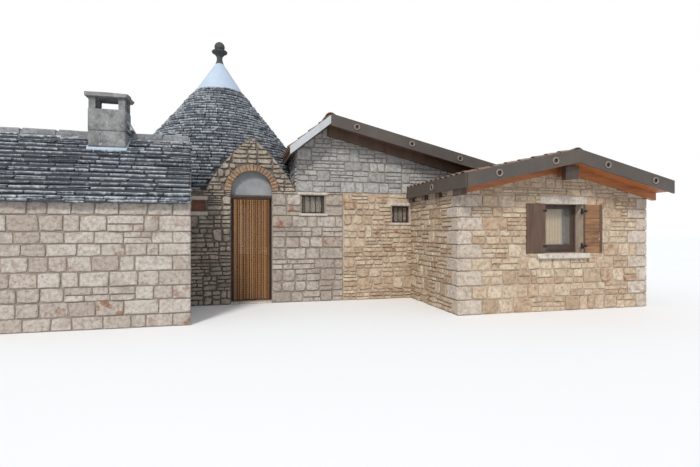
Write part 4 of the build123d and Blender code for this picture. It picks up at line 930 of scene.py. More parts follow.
@dataclass
class WallFace:
    """One outer face of a wall, laid with stones.

    Places on the face are given along it from its start, and upwards from the ground.
    """

    name: str
    start: Point
    end: Point
    outline: list[Point]
    bond: Bond
    finish: str
    slot: str
    openings: list[Opening] = field(default_factory=list)
    quoins: tuple[bool, bool] = (False, False)
    round_radius: float = 0.0
    seed: int = 1
    level_seed: int = 1
    datums: tuple[float, ...] = ()
    hole: tuple[float, float, float] | None = None
    covers: list[Opening] = field(default_factory=list)
    quoin_finish: str = ""

    def place(self, u: float, v: float) -> Place:
        """Turns wall coordinates into a point on the wall's face."""
        if self.round_radius:
            a = math.radians(self.start[0]) + u / self.round_radius
            return (self.round_radius * math.cos(a), self.round_radius * math.sin(a), v)
        dx, dy = self.end[0] - self.start[0], self.end[1] - self.start[1]
        length = math.hypot(dx, dy)
        return (self.start[0] + dx * u / length, self.start[1] + dy * u / length, v)

    def levels(self, rng: random.Random) -> list[float]:
        """Heights of the levelling courses, fitted to the tops and sills of the openings."""
        low = min(p[1] for p in self.outline)
        high = max(p[1] for p in self.outline)
        marks = [*self.datums, *(z for o in self.openings for z in (o[1], o[3]))]
        fixed = sorted({low, high, *(z for z in marks if low < z < high)})
        sizes = BONDS[self.bond]
        levels = [low]
        for a, b in pairwise(fixed):
            count = max(1, round((b - a) / (sum(sizes.lift) / 2)))
            cuts = [rng.uniform(*sizes.lift) for _ in range(count)]
            total = sum(cuts)
            for cut in cuts:
                levels.append(levels[-1] + cut * (b - a) / total)
        return levels

    def spans(self, v0: float, v1: float, u0: float, u1: float) -> list[Point]:
        """Stretches of a row that no opening takes up."""
        spans = [(u0, u1)]
        for left, low, right, high in self.openings:
            if high > v0 + 0.01 and low < v1 - 0.01:
                cut = [part for a, b in spans for part in ((a, min(b, left)), (max(a, right), b))]
                spans = [(a, b) for a, b in cut if b - a > 0.03]
        return spans

    def cell(self, u0: float, v0: float, u1: float, v1: float, rng: random.Random,
             jitter: float) -> list[Point]:
        """One stone's outline, a little uneven, inside its joints."""
        gap = BONDS[self.bond].joint / 2
        u0, v0, u1, v1 = u0 + gap, v0 + gap, u1 - gap, v1 - gap
        reach = jitter * min(u1 - u0, v1 - v0)
        um, vm = (u0 + u1) / 2, (v0 + v1) / 2
        corners = [(u0, v0, 1, 1), (um, v0, 0, 1), (u1, v0, -1, 1), (u1, vm, -1, 0),
                   (u1, v1, -1, -1), (um, v1, 0, -1), (u0, v1, 1, -1), (u0, vm, 1, 0)]
        points = []
        for u, v, su, sv in corners:
            edge = 0.35 if 0 in (su, sv) else 1.0
            du = su * rng.uniform(0, reach * edge) if su else rng.uniform(-reach, reach)
            dv = sv * rng.uniform(0, reach * edge) if sv else rng.uniform(-reach, reach)
            points.append((u + du, v + dv))
        return points

    def fill(self, low: float, high: float, left: float, right: float,
             rng: random.Random) -> list[list[Point]]:
        """Fills a stretch of one lift with single stones and with stacks of smaller ones.

        Args:
            low: Bottom of the lift.
            high: Top of the lift.
            left: Where the stretch starts.
            right: Where it ends.
            rng: Source of the stones' sizes.

        Returns:
            The outlines of the stones.
        """
        sizes = BONDS[self.bond]
        found, u = [], left
        while right - u > 0.02:
            stack = rng.random() < sizes.stacked
            rows = rng.randint(*sizes.rows) if stack else 1
            wide = rng.uniform(*sizes.width) * (rng.uniform(1.2, 2.4) if stack else 1.0)
            if right - u - wide < sizes.width[0] * 0.8:
                wide = right - u
            shares = [(i + rng.uniform(-0.2, 0.2) * (0 < i < rows)) for i in range(rows + 1)]
            for v0, v1 in pairwise(low + (high - low) * share / rows for share in shares):
                w = u
                while u + wide - w > 0.02:
                    piece = rng.uniform(*sizes.width) if rows > 1 else wide
                    if u + wide - w - piece < sizes.width[0] * 0.7:
                        piece = u + wide - w
                    found.append(self.cell(w, v0, w + piece, v1, rng, sizes.jitter))
                    w += piece
            u += wide
        return found

    def cells(self) -> list[tuple[list[Point], bool]]:
        """Lays the whole face in lifts and returns the stones' outlines, each with whether it is a quoin."""
        rng = random.Random(self.seed)
        left = min(p[0] for p in self.outline)
        right = max(p[0] for p in self.outline)
        found = []
        levels = self.levels(random.Random(self.level_seed))
        for index, (a, b) in enumerate(pairwise(levels)):
            u0 = left + (QUOINS[index % 2] if self.quoins[0] else 0.0)
            u1 = right - (QUOINS[(index + 1) % 2] if self.quoins[1] else 0.0)
            if self.quoins[0]:
                found.append((self.cell(left, a, u0, b, rng, QUOIN_JITTER), True))
            if self.quoins[1]:
                found.append((self.cell(u1, a, right, b, rng, QUOIN_JITTER), True))
            for s0, s1 in self.spans(a, b, u0, u1):
                found += [(points, False) for points in self.fill(a, b, s0, s1, rng)]
        kept = []
        for points, quoin in found:
            if self.hole and math.dist(middle_of(points), self.hole[:2]) < self.hole[2] - 0.01:
                continue
            points = clip([self.pushed(p) for p in points], self.outline)
            if len(points) >= 3 and area(points) > SMALLEST_STONE:
                kept.append((points, quoin))
        return kept

    def pushed(self, point: Point) -> Point:
        """Moves a corner out of the round hole."""
        if not self.hole:
            return point
        u0, v0, radius = self.hole
        away = max(math.hypot(point[0] - u0, point[1] - v0), 0.001)
        grow = max(radius / away, 1.0)
        return (u0 + (point[0] - u0) * grow, v0 + (point[1] - v0) * grow)

    def hidden(self, points: list[Point]) -> bool:
        """Tells whether a stone lies behind a shutter, where it stays low."""
        u, v = middle_of(points)
        return any(left < u < right and low < v < high for left, low, right, high in self.covers)

    def build(self, shop: Workshop) -> None:
        """Raises the face's stones, and its quoins in their own finish, and gives them to the house."""
        rng = random.Random(self.seed + 100)
        sizes = BONDS[self.bond]
        groups = {False: (self.name, self.finish), True: (self.name + "_quoins", self.quoin_finish)}
        laid = self.cells()
        for wanted, (name, finish) in groups.items():
            cells = []
            for points, quoin in laid:
                if (quoin and bool(self.quoin_finish)) == wanted:
                    tone = rng.random()
                    lift = rng.uniform(*(QUOIN_LIFT if quoin else STONE_LIFT))
                    proud = LOW_LIFT if self.hidden(points) else lift
                    cells.append(([self.place(u, v) for u, v in points], tone, proud))
            if cells:
                shop.raise_stones(name, cells, sizes.relief, sizes.jitter * 0.07, finish, self.slot)


def rectangle(u0: float, v0: float, u1: float, v1: float) -> list[Point]:
    """Corners of a rectangle, counter-clockwise."""
    return [(u0, v0), (u1, v0), (u1, v1), (u0, v1)]


def shifted(openings: tuple[Opening, ...], x0: float) -> list[Opening]:
    """Turns openings given in x into places along a face that starts at x0."""
    return [(left - x0, low, right - x0, high) for left, low, right, high in openings]


@dataclass
class Sizes:
    """Places and sizes that the sub-assemblies share, read from the frame where they can be."""

    front_y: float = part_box("rubble_wall")[0].y
    drum_r: float = -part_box("drum_wall_left")[0].x
    drum_h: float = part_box("drum_wall_left")[1].z
    eave_r: float = -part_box("cone_roof")[0].x
    cone_top_z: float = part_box("cone_roof")[1].z
    cone_top_r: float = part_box("white_tip")[1].x - 0.03
    eave_edge: float = 0.06
    courses: int = 36
    door_x: float = 0.34
    door_mid: float = 0.745
    door_r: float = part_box("threshold")[1].x
    arch_r: float = 0.405
    arch_ring: float = 0.13
    gable_half: float = 0.9
    gable_rise: float = 1.01
    gable_h: float = 1.07
    pier_x: float = 2.64
    house_x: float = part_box("house_gable")[0].x
    house_right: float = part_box("house_right_wall")[1].x
    house_back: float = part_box("house_back_wall")[1].y
    ridge_x: float = 2.3
    ridge_z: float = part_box("house_fascia")[1].z - 0.03
    roof_t: float = 0.16
    tile_set: float = 0.09
    eave_x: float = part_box("house_roof_right")[1].x
    eave_low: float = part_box("house_roof_right")[0].z
    verge_y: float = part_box("house_roof_right")[0].y
    back_verge_y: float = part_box("house_roof_right")[1].y
    left_pitch: float = 0.80
    room_x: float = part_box("room_gable_wall")[0].x
    room_front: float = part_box("room_gable_wall")[0].y
    room_ridge_x: float = 6.26
    room_eave_x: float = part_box("room_roof_left")[0].x
    room_eave_low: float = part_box("room_roof_left")[0].z
    room_verge_y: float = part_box("room_roof_left")[0].y
    wing_x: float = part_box("kitchen_front_wall")[0].x
    wing_corner_x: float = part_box("kitchen_front_wall")[1].x
    wing_front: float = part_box("kitchen_front_wall")[0].y
    wing_back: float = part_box("kitchen_back_wall")[1].y
    wing_pitch: float = 0.765
    wing_slab: float = 0.13
    wing_rows: int = 15
    wing_ridge_z: float = 3.15
    wing_skew: float = 0.1

    @property
    def room_ridge_z(self) -> float:
        """Roof line at the tiled wing's ridge."""
        return self.house_top(self.room_ridge_x)

    def gable_reach(self, z: float) -> float:
        """Half width of the entrance gable at height z."""
        rise = min(max((z - self.drum_h) / self.gable_rise, 0.0), 1.0)
        return self.gable_half - 0.79 * rise + 0.32 * rise * (1 - rise)

    @property
    def right_pitch(self) -> float:
        """Fall of the main roof's right slope."""
        return (self.ridge_z - self.eave_low - self.roof_t) / (self.eave_x - self.ridge_x)

    @property
    def room_pitch(self) -> float:
        """Fall of the tiled wing's left slope."""
        return (self.room_ridge_z - self.room_eave_low - self.roof_t) / (self.room_ridge_x - self.room_eave_x)

    @property
    def wing_ridge_y(self) -> float:
        """Where the kitchen's ridge runs."""
        return (self.wing_front + self.wing_back) / 2

    def house_top(self, x: float) -> float:
        """Top of the main roof deck at x."""
        if x < self.ridge_x:
            return self.ridge_z - self.left_pitch * (self.ridge_x - x)
        return self.ridge_z - self.right_pitch * (x - self.ridge_x)

    def room_top(self, x: float) -> float:
        """Top of the tiled wing's roof deck at x."""
        if x < self.room_ridge_x:
            return self.room_ridge_z - self.room_pitch * (self.room_ridge_x - x)
        return self.house_top(x)

    def kitchen_top(self, y: float) -> float:
        """Top of the kitchen's roof deck at y."""
        return self.wing_ridge_z - self.wing_pitch * abs(y - self.wing_ridge_y)

    def skew_x(self, y: float) -> float:
        """The kitchen's right side at y."""
        return self.wing_corner_x - self.wing_skew * (y - self.wing_front)

    def cone_radius(self, z: float) -> float:
        """Radius of the plain cone at height z."""
        rise = (z - self.drum_h - self.eave_edge) / (self.cone_top_z - self.drum_h - self.eave_edge)
        return self.eave_r + (self.cone_top_r - self.eave_r) * rise


@dataclass
class Walls:
    """All the outer wall faces, counter-clockwise round the house."""

    sizes: Sizes
    corner: float = 0.02
    drum_arc: Point = (40.0, 182.0)
    kitchen_back_x: float = -1.9
    house_left_y: float = -1.2
    gable_end_x: float = 5.85
    window_z: Point = (0.99, 2.11)
    window: Opening = (5.84, 0.99, 6.85, 2.11)
    shutters: tuple[Opening, ...] = ((5.50, 1.04, 5.95, 2.0), (6.74, 1.04, 7.19, 2.0))
    hatch: Opening = (-0.46, 1.78, -0.12, 2.17)
    small_window: Opening = (1.74, 1.785, 2.26, 2.24)
    barred_window: Opening = (3.725, 1.60, 4.165, 2.07)

    def kitchen(self) -> list[WallFace]:
        """The four faces of the kitchen wing."""
        s = self.sizes
        c, x0, x1, y0, y1 = self.corner, s.wing_x, s.wing_corner_x, s.wing_front, s.wing_back
        back_x = self.kitchen_back_x
        low, top, near_top = (s.kitchen_top(y) - s.wing_slab for y in (y0, s.wing_ridge_y, s.front_y))
        near, middle, deep = s.front_y - y0, s.wing_ridge_y - y0, y1 - y0
        right = [(-c, 0), (near, 0), (near, near_top), (middle, top), (-c, low)]
        left = [(-c, 0), (deep + c, 0), (deep + c, low), (middle, top), (-c, low)]
        shared = {"bond": Bond.COURSED, "finish": "coursed_stone", "slot": "coursed_stone", "level_seed": 3}
        return [
            WallFace("stones_kitchen_front", (x0, y0), (x1, y0), rectangle(-c, 0, x1 - x0 + c, low),
                     quoins=(True, True), seed=11, **shared),
            WallFace("stones_kitchen_right", (x1, y0), (s.skew_x(s.front_y), s.front_y), right,
                     quoins=(True, False), seed=12, datums=(low,), **shared),
            WallFace("stones_kitchen_left", (x0, y1), (x0, y0), left,
                     quoins=(True, True), seed=13, datums=(low,), **shared),
            WallFace("stones_kitchen_back", (back_x, y1), (x0, y1), rectangle(0, 0, back_x - x0 + c, low),
                     quoins=(False, True), seed=14, **shared),
        ]

    def front(self) -> list[WallFace]:
        """The faces along the entrance front, and the round room's."""
        s = self.sizes
        y, high, door, pier, room = s.front_y, s.drum_h, s.door_r, s.pier_x, s.room_x
        left = s.skew_x(y)
        start, arc = self.drum_arc
        rough = {"finish": "rough_stone", "slot": "rubble_stone"}
        rubble = {"bond": Bond.THIN, "finish": "rubble_stone", "slot": "rubble_stone"}
        return [
            WallFace("stones_round_room", (start, 0), (start + arc, 0),
                     rectangle(0, 0, math.radians(arc) * s.drum_r, high), Bond.RUBBLE,
                     round_radius=s.drum_r, seed=15, level_seed=5, **rough),
            WallFace("stones_entrance_wall", (left, y), (s.door_x, y), rectangle(0, 0, s.door_x - left, high),
                     Bond.ROUGH, openings=shifted((self.hatch,), left), seed=16, level_seed=6, **rough),
            WallFace("stones_pier", (door, y), (pier, y), rectangle(0, 0, pier - door, high), Bond.BLOCKS,
                     "pier_stone", "coursed_stone", shifted((self.small_window,), door), seed=17,
                     level_seed=7),
            WallFace("stones_rubble_wall", (pier, y), (room, y), rectangle(0, 0, room - pier, high),
                     openings=shifted((self.barred_window,), pier), seed=18, level_seed=8, **rubble),
            WallFace("stones_room_left", (room, y), (room, s.room_front),
                     rectangle(0, 0, y - s.room_front + self.corner, s.room_top(room) - s.roof_t),
                     quoins=(False, True), seed=24, level_seed=10, datums=self.window_z,
                     quoin_finish="quoin_stone", **rubble),
            self.gable(),
        ]

    def gable(self) -> WallFace:
        """The entrance gable's face, with its arch cut round and its sides swelling out."""
        s = self.sizes
        half, base, inset, steps = s.gable_half, s.drum_h, 0.012, 8
        levels = [base + s.gable_rise * i / steps for i in range(steps + 1)]
        right = [(half + s.gable_reach(z) - inset, z) for z in levels]
        left = [(half - s.gable_reach(z) + inset, z) for z in reversed(levels)]
        outline = [*right, (half, base + s.gable_h - inset), *left]
        start, end = (s.door_mid - half, s.front_y), (s.door_mid + half, s.front_y)
        hole = (half, base, s.arch_r + s.arch_ring + 0.01)
        return WallFace("stones_entrance_gable", start, end, outline, Bond.ROUGH, "rough_stone",
                        "rubble_stone", seed=30, level_seed=12, hole=hole)

    def house(self) -> list[WallFace]:
        """The faces of the main house and of the tiled wing's gable."""
        s = self.sizes
        c, x0, x1, room, end = self.corner, s.house_x, s.house_right, s.room_x, self.gable_end_x
        left, top, end_top, low = (s.house_top(x) - s.roof_t for x in (x0, s.ridge_x, end, x1))
        room_left, room_top = (s.room_top(x) - s.roof_t for x in (room, s.room_ridge_x))
        wide, back, span = x1 - room, x1 - x0, end - x0
        gable = [(0, s.drum_h), (span, s.drum_h), (span, end_top), (s.ridge_x - x0, top), (0, left)]
        rear = [(-c, 0), (back, 0), (back, left), (x1 - s.ridge_x, top), (-c, low)]
        room_gable = [(-c, 0), (wide + c, 0), (wide + c, low), (s.room_ridge_x - room, room_top),
                      (-c, room_left)]
        grey = {"bond": Bond.RUBBLE, "finish": "gable_stone", "slot": "coursed_stone", "level_seed": 9}
        warm = {"bond": Bond.RUBBLE, "finish": "rubble_stone", "slot": "rubble_stone", "level_seed": 10,
                "quoin_finish": "quoin_stone"}
        return [
            WallFace("stones_house_gable", (x0, s.front_y), (end, s.front_y), gable, seed=19, **grey),
            WallFace("stones_house_left", (x0, self.house_left_y), (x0, s.front_y),
                     rectangle(0, s.drum_h, self.house_left_y - s.front_y, left), seed=20, **grey),
            WallFace("stones_house_right", (x1, s.room_front), (x1, s.house_back),
                     rectangle(-c, 0, s.house_back - s.room_front + c, low), quoins=(True, True), seed=21,
                     datums=self.window_z, **warm),
            WallFace("stones_house_back", (x1, s.house_back), (x0, s.house_back), rear,
                     quoins=(True, False), seed=22, datums=(*self.window_z, low), **warm),
            WallFace("stones_room_gable", (room, s.room_front), (x1, s.room_front), room_gable,
                     openings=shifted((self.window,), room), covers=shifted(self.shutters, room),
                     quoins=(True, True), seed=23, datums=(low,), **warm),
        ]

    def build(self, shop: Workshop) -> None:
        """Raises the stones of every face and finishes the walls behind them."""
        for face in (*self.kitchen(), *self.front(), *self.house()):
            face.build(shop)
        drum = [f"drum_wall_{side}" for side in ("front", "right", "back", "left")]
        kitchen = [f"kitchen_{side}_wall" for side in ("front", "right", "left", "back")]
        shop.dress("mortar", *drum, *kitchen, "pier_wall", "house_gable", "house_left_wall", "drum_lintels")
        shop.dress("dark_mortar", "entrance_wall", "entrance_gable")
        shop.dress("sandy_mortar", "rubble_wall", "house_right_wall", "house_back_wall", "room_gable_wall",
                   "room_left_wall")


@dataclass
class ConeRoof:
    """The cone, ringed with thin slabs, with its white tip and pinnacle."""

    sizes: Sizes
    depth: float = 0.20
    width: Point = (0.14, 0.36)
    ball: float = 0.13
    margin: float = 0.05
    saddle_y: float = -2.2
    saddle_rise: float = 1.05
    house_y: Point = (-2.7, -2.0)
    kitchen_x: float = -0.9
    seed: int = 41

    def clear(self, x: float, y: float, z: float) -> bool:
        """Tells whether a slab there is outside the gable, the house and the kitchen roof."""
        s, margin = self.sizes, self.margin
        by_saddle = y < self.saddle_y and z < s.drum_h + self.saddle_rise
        if by_saddle and abs(x - s.door_mid) < s.gable_reach(z) + margin:
            return False
        inside_house = x > s.house_x + margin and self.house_y[0] < y < s.house_back - margin
        if inside_house and z < s.house_top(x) - 2 * margin:
            return False
        if x > s.house_x - 0.02 and y < self.house_y[1] and z < s.house_top(x):
            return False
        return not (x < self.kitchen_x and y < s.wing_back and z < s.kitchen_top(y) - margin)

    def build(self, shop: Workshop) -> None:
        """Lays the rings of slabs and finishes the cone, its tip and its pinnacle."""
        rng = random.Random(self.seed)
        s = self.sizes
        copies = []
        foot = s.drum_h + s.eave_edge
        high = (s.cone_top_z - foot) / s.courses
        for course in range(-1, s.courses):
            z = foot + (course + 0.5) * high
            radius = s.cone_radius(max(z, foot)) + 0.004
            turn = rng.uniform(0, 1)
            a, end = turn, turn + math.tau
            while a < end - 0.02:
                step = rng.uniform(*self.width) / radius
                if end - a - step < 0.1 / radius:
                    step = end - a
                middle = a + step / 2
                r = radius + rng.uniform(-0.014, 0.014)
                x, y = r * math.cos(middle), r * math.sin(middle)
                if self.clear(x, y, z):
                    copies.append((
                        (x, y, z + rng.uniform(-0.005, 0.005)),
                        (rng.uniform(-0.02, 0.02), rng.uniform(0.02, 0.12),
                         middle + rng.uniform(-0.04, 0.04)),
                        (self.depth, step * r - 0.006, high * rng.uniform(0.66, 0.90)),
                        rng.random()))
                a += step
        shop.place("cone_slabs", copies, shop.slab, "slab_stone", "slab_stone", 0.012, 12.0)
        shop.dress("slab_shadow", "cone_roof", "entrance_saddle")
        self.tip(shop)
        self.pinnacle(shop)

    def tip(self, shop: Workshop) -> None:
        """Plasters the white tip."""
        s = self.sizes
        low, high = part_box("white_tip")
        levels, foot_r, top_r = 14, s.cone_top_r + 0.022, 0.102
        profile = [(s.cone_top_r + 0.012, low.z - 0.03)]
        for i in range(levels + 1):
            rise = i / levels
            profile.append((foot_r + (top_r - foot_r) * rise, low.z + (high.z - low.z) * rise))
        tip = turned("lime_tip", profile, 56)
        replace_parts(shop.run(tip, shop.weather, "lime_plaster", "lime_plaster", 0.012, 3.0), "white_tip")

    def pinnacle(self, shop: Workshop) -> None:
        """Carves the stem, the cup and the ball of the pinnacle."""
        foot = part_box("white_tip")[1].z - 0.015
        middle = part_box("pinnacle")[1].z - self.ball
        stem = [(0.104, 0.0), (0.101, 0.03), (0.083, 0.08), (0.072, 0.13), (0.070, 0.175), (0.080, 0.215)]
        cup = [(0.110, 0.255), (0.150, 0.288), (0.186, 0.312), (0.198, 0.332), (0.192, 0.35), (0.172, 0.354),
               (0.135, 0.338)]
        profile = [(r, foot + z) for r, z in stem + cup]
        for i in range(11):
            a = math.radians(-50 + 14 * i)
            profile.append((self.ball * math.cos(a), middle + self.ball * math.sin(a)))
        stone = turned("pinnacle_carving", profile, 32)
        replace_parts(shop.run(stone, shop.weather, "pinnacle_stone", "grey_stone", 0.006, 14.0), "pinnacle")


@dataclass
class KitchenRoof:
    """The kitchen's slab roof with its ridge and chimney."""

    sizes: Sizes
    thickness: float = 0.056
    split: float = 0.28
    lift: float = 0.028
    depth: float = 0.24
    width: Point = (0.20, 0.58)
    fillet: float = 0.03
    ridge_stone: Point = (0.48, 0.66)
    ridge_deep: float = 0.25
    ridge_thick: float = 0.09
    lifts: tuple[float, ...] = (2.60, 2.92, 3.19, 3.565)
    seed: int = 51

    def outside_cone(self, x: float, y: float, z: float) -> bool:
        """Tells whether a point is clear of the cone and the drum."""
        s = self.sizes
        return math.hypot(x, y) > (s.drum_r + 0.02 if z < s.drum_h else s.cone_radius(z) + 0.03)

    def build(self, shop: Workshop) -> None:
        """Lays the slabs, the ridge stones and finishes the chimney."""
        rng = random.Random(self.seed)
        s = self.sizes
        step = (s.wing_ridge_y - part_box("kitchen_roof_front")[0].y) / s.wing_rows
        copies = []
        for side, row in product((-1, 1), range(1, s.wing_rows + 2)):
            y = s.wing_ridge_y + side * step * min(row, s.wing_rows)
            drop = 0.5 * s.wing_pitch * step * (row > s.wing_rows)
            copies += self.row(rng, side, y, drop)
        shop.place("kitchen_slabs", copies, shop.slab, "slab_stone", "slab_stone", 0.016, 12.0)
        self.ridge(shop, rng)
        self.chimney(shop, rng)
        shop.dress("slab_shadow", "kitchen_roof_front", "kitchen_roof_back")
        shop.dress("ridge_stone", "kitchen_ridge")

    def row(self, rng: random.Random, side: int, y: float, drop: float) -> list[Copy]:
        """Lays one row of slabs, some of them split in two layers.

        Args:
            rng: Source of the slabs' sizes.
            side: -1 on the front slope and 1 on the back one.
            y: Where the row's outer edge lies.
            drop: How far the row hangs below the others' line.

        Returns:
            The row's slabs.
        """
        s = self.sizes
        copies = []
        x = s.wing_x - rng.uniform(0.0, 0.03)
        end = s.skew_x(y) + rng.uniform(0.005, 0.035)
        while x < end - 0.01:
            wide = rng.uniform(*self.width)
            if end - x - wide < 0.12:
                wide = end - x
            middle = x + wide / 2
            layers = 2 if rng.random() < self.split else 1
            thick = self.thickness * rng.uniform(0.8, 1.08) / layers
            z = s.kitchen_top(y) + self.lift - drop + rng.uniform(-0.006, 0.006)
            for layer in range(layers if self.outside_cone(middle, y, z) else 0):
                copies.append((
                    (middle, y + side * rng.uniform(0.0, 0.022), z - thick * (layer + 0.5)),
                    (rng.uniform(-0.02, 0.02), rng.uniform(0.06, 0.14),
                     side * math.pi / 2 + rng.uniform(-0.03, 0.03)),
                    (self.depth, wide - 0.004, thick * 0.94),
                    rng.random()))
            x += wide
        return copies

    def ridge(self, shop: Workshop, rng: random.Random) -> None:
        """Lays the long flat stones along the ridge."""
        low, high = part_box("kitchen_ridge")
        deep, thick = self.ridge_deep, self.ridge_thick
        y, z = self.sizes.wing_ridge_y - deep / 2, high.z + 0.006 - thick / 2
        copies = []
        x = low.x - 0.01
        while x < high.x - 0.05:
            wide = rng.uniform(*self.ridge_stone)
            if high.x - x - wide < 0.3:
                wide = high.x - x
            copies.append((
                (x + wide / 2, y + rng.uniform(-0.006, 0.006), z),
                (rng.uniform(-0.02, 0.02), rng.uniform(-0.03, 0.03), -math.pi / 2),
                (deep, wide - 0.012, thick),
                rng.random()))
            x += wide
        shop.place("ridge_stones", copies, shop.slab, "ridge_stone", "slab_stone", 0.012)

    def chimney(self, shop: Workshop, rng: random.Random) -> None:
        """Lays the stack's courses, its top slab and the slabs that lean on its side."""
        low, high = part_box("chimney_stack")
        cells = self.stack(rng, low, high)
        shop.raise_stones("stack_stones", cells, 0.014, 0.006, "grey_stone", "grey_stone")
        cap_low, cap_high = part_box("chimney_cap")
        middle = (cap_high.x - 0.008, (cap_low.y + cap_high.y) / 2, cap_low.z + 0.031)
        top = [(middle, (0.0, 0.0, 0.0), (0.68, 0.50, 0.066), 0.9)]
        cap = shop.place("cap_slab", top, shop.slab, "grey_stone", "grey_stone", 0.018, 7.0)
        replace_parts(cap, "chimney_cap")
        leaning = [((high.x + out, low.y + 0.24, z), (0.0, 1.05, 0.0), (0.27, 0.3, 0.06), tone)
                   for out, z, tone in ((0.075, 3.235, 0.6), (0.042, 3.182, 0.4))]
        shop.place("stack_side_slab", leaning, shop.slab, "slab_stone", "grey_stone", 0.014, 8.0)
        shop.dress("grey_stone", "chimney_stack")
        self.fillets(shop, low, high)

    def stack(self, rng: random.Random, low: Vector, high: Vector) -> list[Cell]:
        """Lists the stack's stones, two to a course on its long sides and one on the others."""
        plan = [(low.x, low.y), (high.x, low.y), (high.x, high.y), (low.x, high.y)]
        grow = 0.006
        cells = []
        for (ax, ay), (bx, by) in zip(plan, plan[1:] + plan[:1]):
            long = math.hypot(bx - ax, by - ay)
            out_x, out_y = 0.001 * (by - ay) / long, 0.001 * (ax - bx) / long
            for index, (a, b) in enumerate(pairwise(self.lifts)):
                cuts = (0.0, 0.5 + 0.16 * (-1) ** index, 1.0) if long > 0.45 else (0.0, 1.0)
                for t0, t1 in pairwise(cuts):
                    outline = [(ax + (bx - ax) * t + out_x, ay + (by - ay) * t + out_y, z)
                               for t, z in rectangle(t0, a + grow, t1, b - grow)]
                    cells.append((outline, rng.random(), rng.uniform(0.8, 1.1)))
        return cells

    def fillets(self, shop: Workshop, low: Vector, high: Vector) -> None:
        """Runs the white fillet round the stack's foot, along the slabs."""
        s = self.sizes
        out, lap, ridge = self.fillet, 0.01, s.wing_ridge_y
        under, over = -0.06, self.lift + 0.014
        strips = [((low.x - out, y0, under), (high.x + out, y1, over))
                  for y0, y1 in ((low.y - out, low.y + lap), (high.y - lap, high.y + out))]
        for x0, x1 in ((low.x - out, low.x + lap), (high.x - lap, high.x + out)):
            strips += [((x0, low.y, under), (x1, ridge, over)), ((x0, ridge, under), (x1, high.y, over))]
        fillet = shop.block("lime_fillet", strips, "lime_plaster", 0.012, seed=9,
                            follow=lambda point: s.kitchen_top(point.y))
        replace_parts(fillet, "chimney_fillet")


@dataclass
class TiledRoofs:
    """Barrel tiles on the main house and the right wing."""

    sizes: Sizes
    pitch: float = 0.205
    exposure: float = 0.27
    length: float = 0.34
    cover: float = 0.194
    pan: float = 0.12
    cover_rise: float = 0.018
    pan_rise: float = 0.07
    left_over: float = 0.15
    ridge_step: float = 0.31
    ridge_tile: Place = (0.36, 0.262, 0.262)
    seed: int = 61

    def slope(self, top: Callable[[float], float], x0: float, x1: float, y0: float, y1: float, fall: float,
              lift: float = 0.0, skip: Callable[[float, float, float], bool] | None = None) -> list[Copy]:
        """Lists the tiles of one slope.

        Args:
            top: Height of the roof line at x.
            x0: The ridge's x.
            x1: The eave's x.
            y0: First verge.
            y1: Last verge.
            fall: Pitch of the slope, positive.
            lift: How far the tiles are raised above the roof line.
            skip: Optional test of points to leave out.

        Returns:
            The slope's tiles.
        """
        rng = random.Random(self.seed + int(x1 * 10))
        side = 1 if x1 > x0 else -1
        tilt = math.atan(fall)
        columns = int((y1 - y0) / self.pitch)
        step = (y1 - y0) / columns
        run = abs(x1 - x0)
        rows = math.ceil(run / (self.exposure * math.cos(tilt)))
        copies = []
        for half, row in product(range(1, 2 * columns), range(rows)):
            out = run + 0.015 - row * self.exposure * math.cos(tilt)
            if out < 0.12:
                continue
            cover = half % 2 == 1
            width, rise = (self.cover, self.cover_rise) if cover else (self.pan, self.pan_rise)
            x, y = x0 + side * out, y0 + step * half / 2
            z = top(x) + lift + (rise - self.sizes.tile_set)
            if skip and skip(x, y, z):
                continue
            roll = rng.uniform(-0.03, 0.03)
            copies.append((
                (x, y + rng.uniform(-0.006, 0.006), z),
                (roll if cover else math.pi + roll, tilt - 0.05, 0.0 if side > 0 else math.pi),
                (min(self.length, out), width, width),
                rng.random()))
        return copies

    def in_cone(self, x: float, y: float, z: float) -> bool:
        """Tells whether a tile there would stick in the cone."""
        s = self.sizes
        return math.hypot(x, y) < s.cone_radius(min(z, s.cone_top_z)) + 0.04

    def buried(self, x: float, y: float, z: float) -> bool:
        """Tells whether a tile of the wing would lie behind the main roof's verge."""
        return y > self.sizes.verge_y - 0.05 and z > self.sizes.house_top(x) - 0.1

    def build(self, shop: Workshop) -> None:
        """Lays the tiles of the four slopes and the two ridges."""
        s = self.sizes
        front, back, room = s.verge_y, s.back_verge_y, s.room_verge_y
        left = s.house_x - self.left_over
        past = room + 1.2 * (front - room)
        slopes = {
            "house_right": (s.house_top, s.ridge_x, s.eave_x, front, back, s.right_pitch, 0.0, self.in_cone),
            "house_left": (s.house_top, s.ridge_x, left, front, back, s.left_pitch, 0.0, self.in_cone),
            "room_right": (s.house_top, s.room_ridge_x, s.eave_x, room, front, s.right_pitch),
            "room_left": (s.room_top, s.room_ridge_x, s.room_eave_x, room, past, s.room_pitch, 0.045,
                          self.buried),
        }
        for name, values in slopes.items():
            shop.place(f"tiles_{name}", self.slope(*values), shop.tile, "clay_tile", "clay_tile", 0.006)
        self.ridges(shop)
        shop.dress("clay_tile", "house_roof_left", "house_roof_right", "room_roof_left", "room_roof_right")

    def ridges(self, shop: Workshop) -> None:
        """Lays the ridge tiles along both ridges."""
        s = self.sizes
        rng = random.Random(self.seed)
        copies = []
        for x, z, y0, y1 in ((s.ridge_x, s.ridge_z, s.verge_y, s.back_verge_y),
                             (s.room_ridge_x, s.room_ridge_z, s.room_verge_y, s.verge_y)):
            count = round((y1 - y0) / self.ridge_step)
            for i in range(count):
                place = (x, y0 + (y1 - y0) * i / count, z - s.tile_set + 0.022)
                copies.append((place, (0.0, -0.04, -math.pi / 2), self.ridge_tile, rng.random()))
        shop.place("ridge_tiles", copies, shop.tile, "clay_tile", "clay_tile", 0.005)


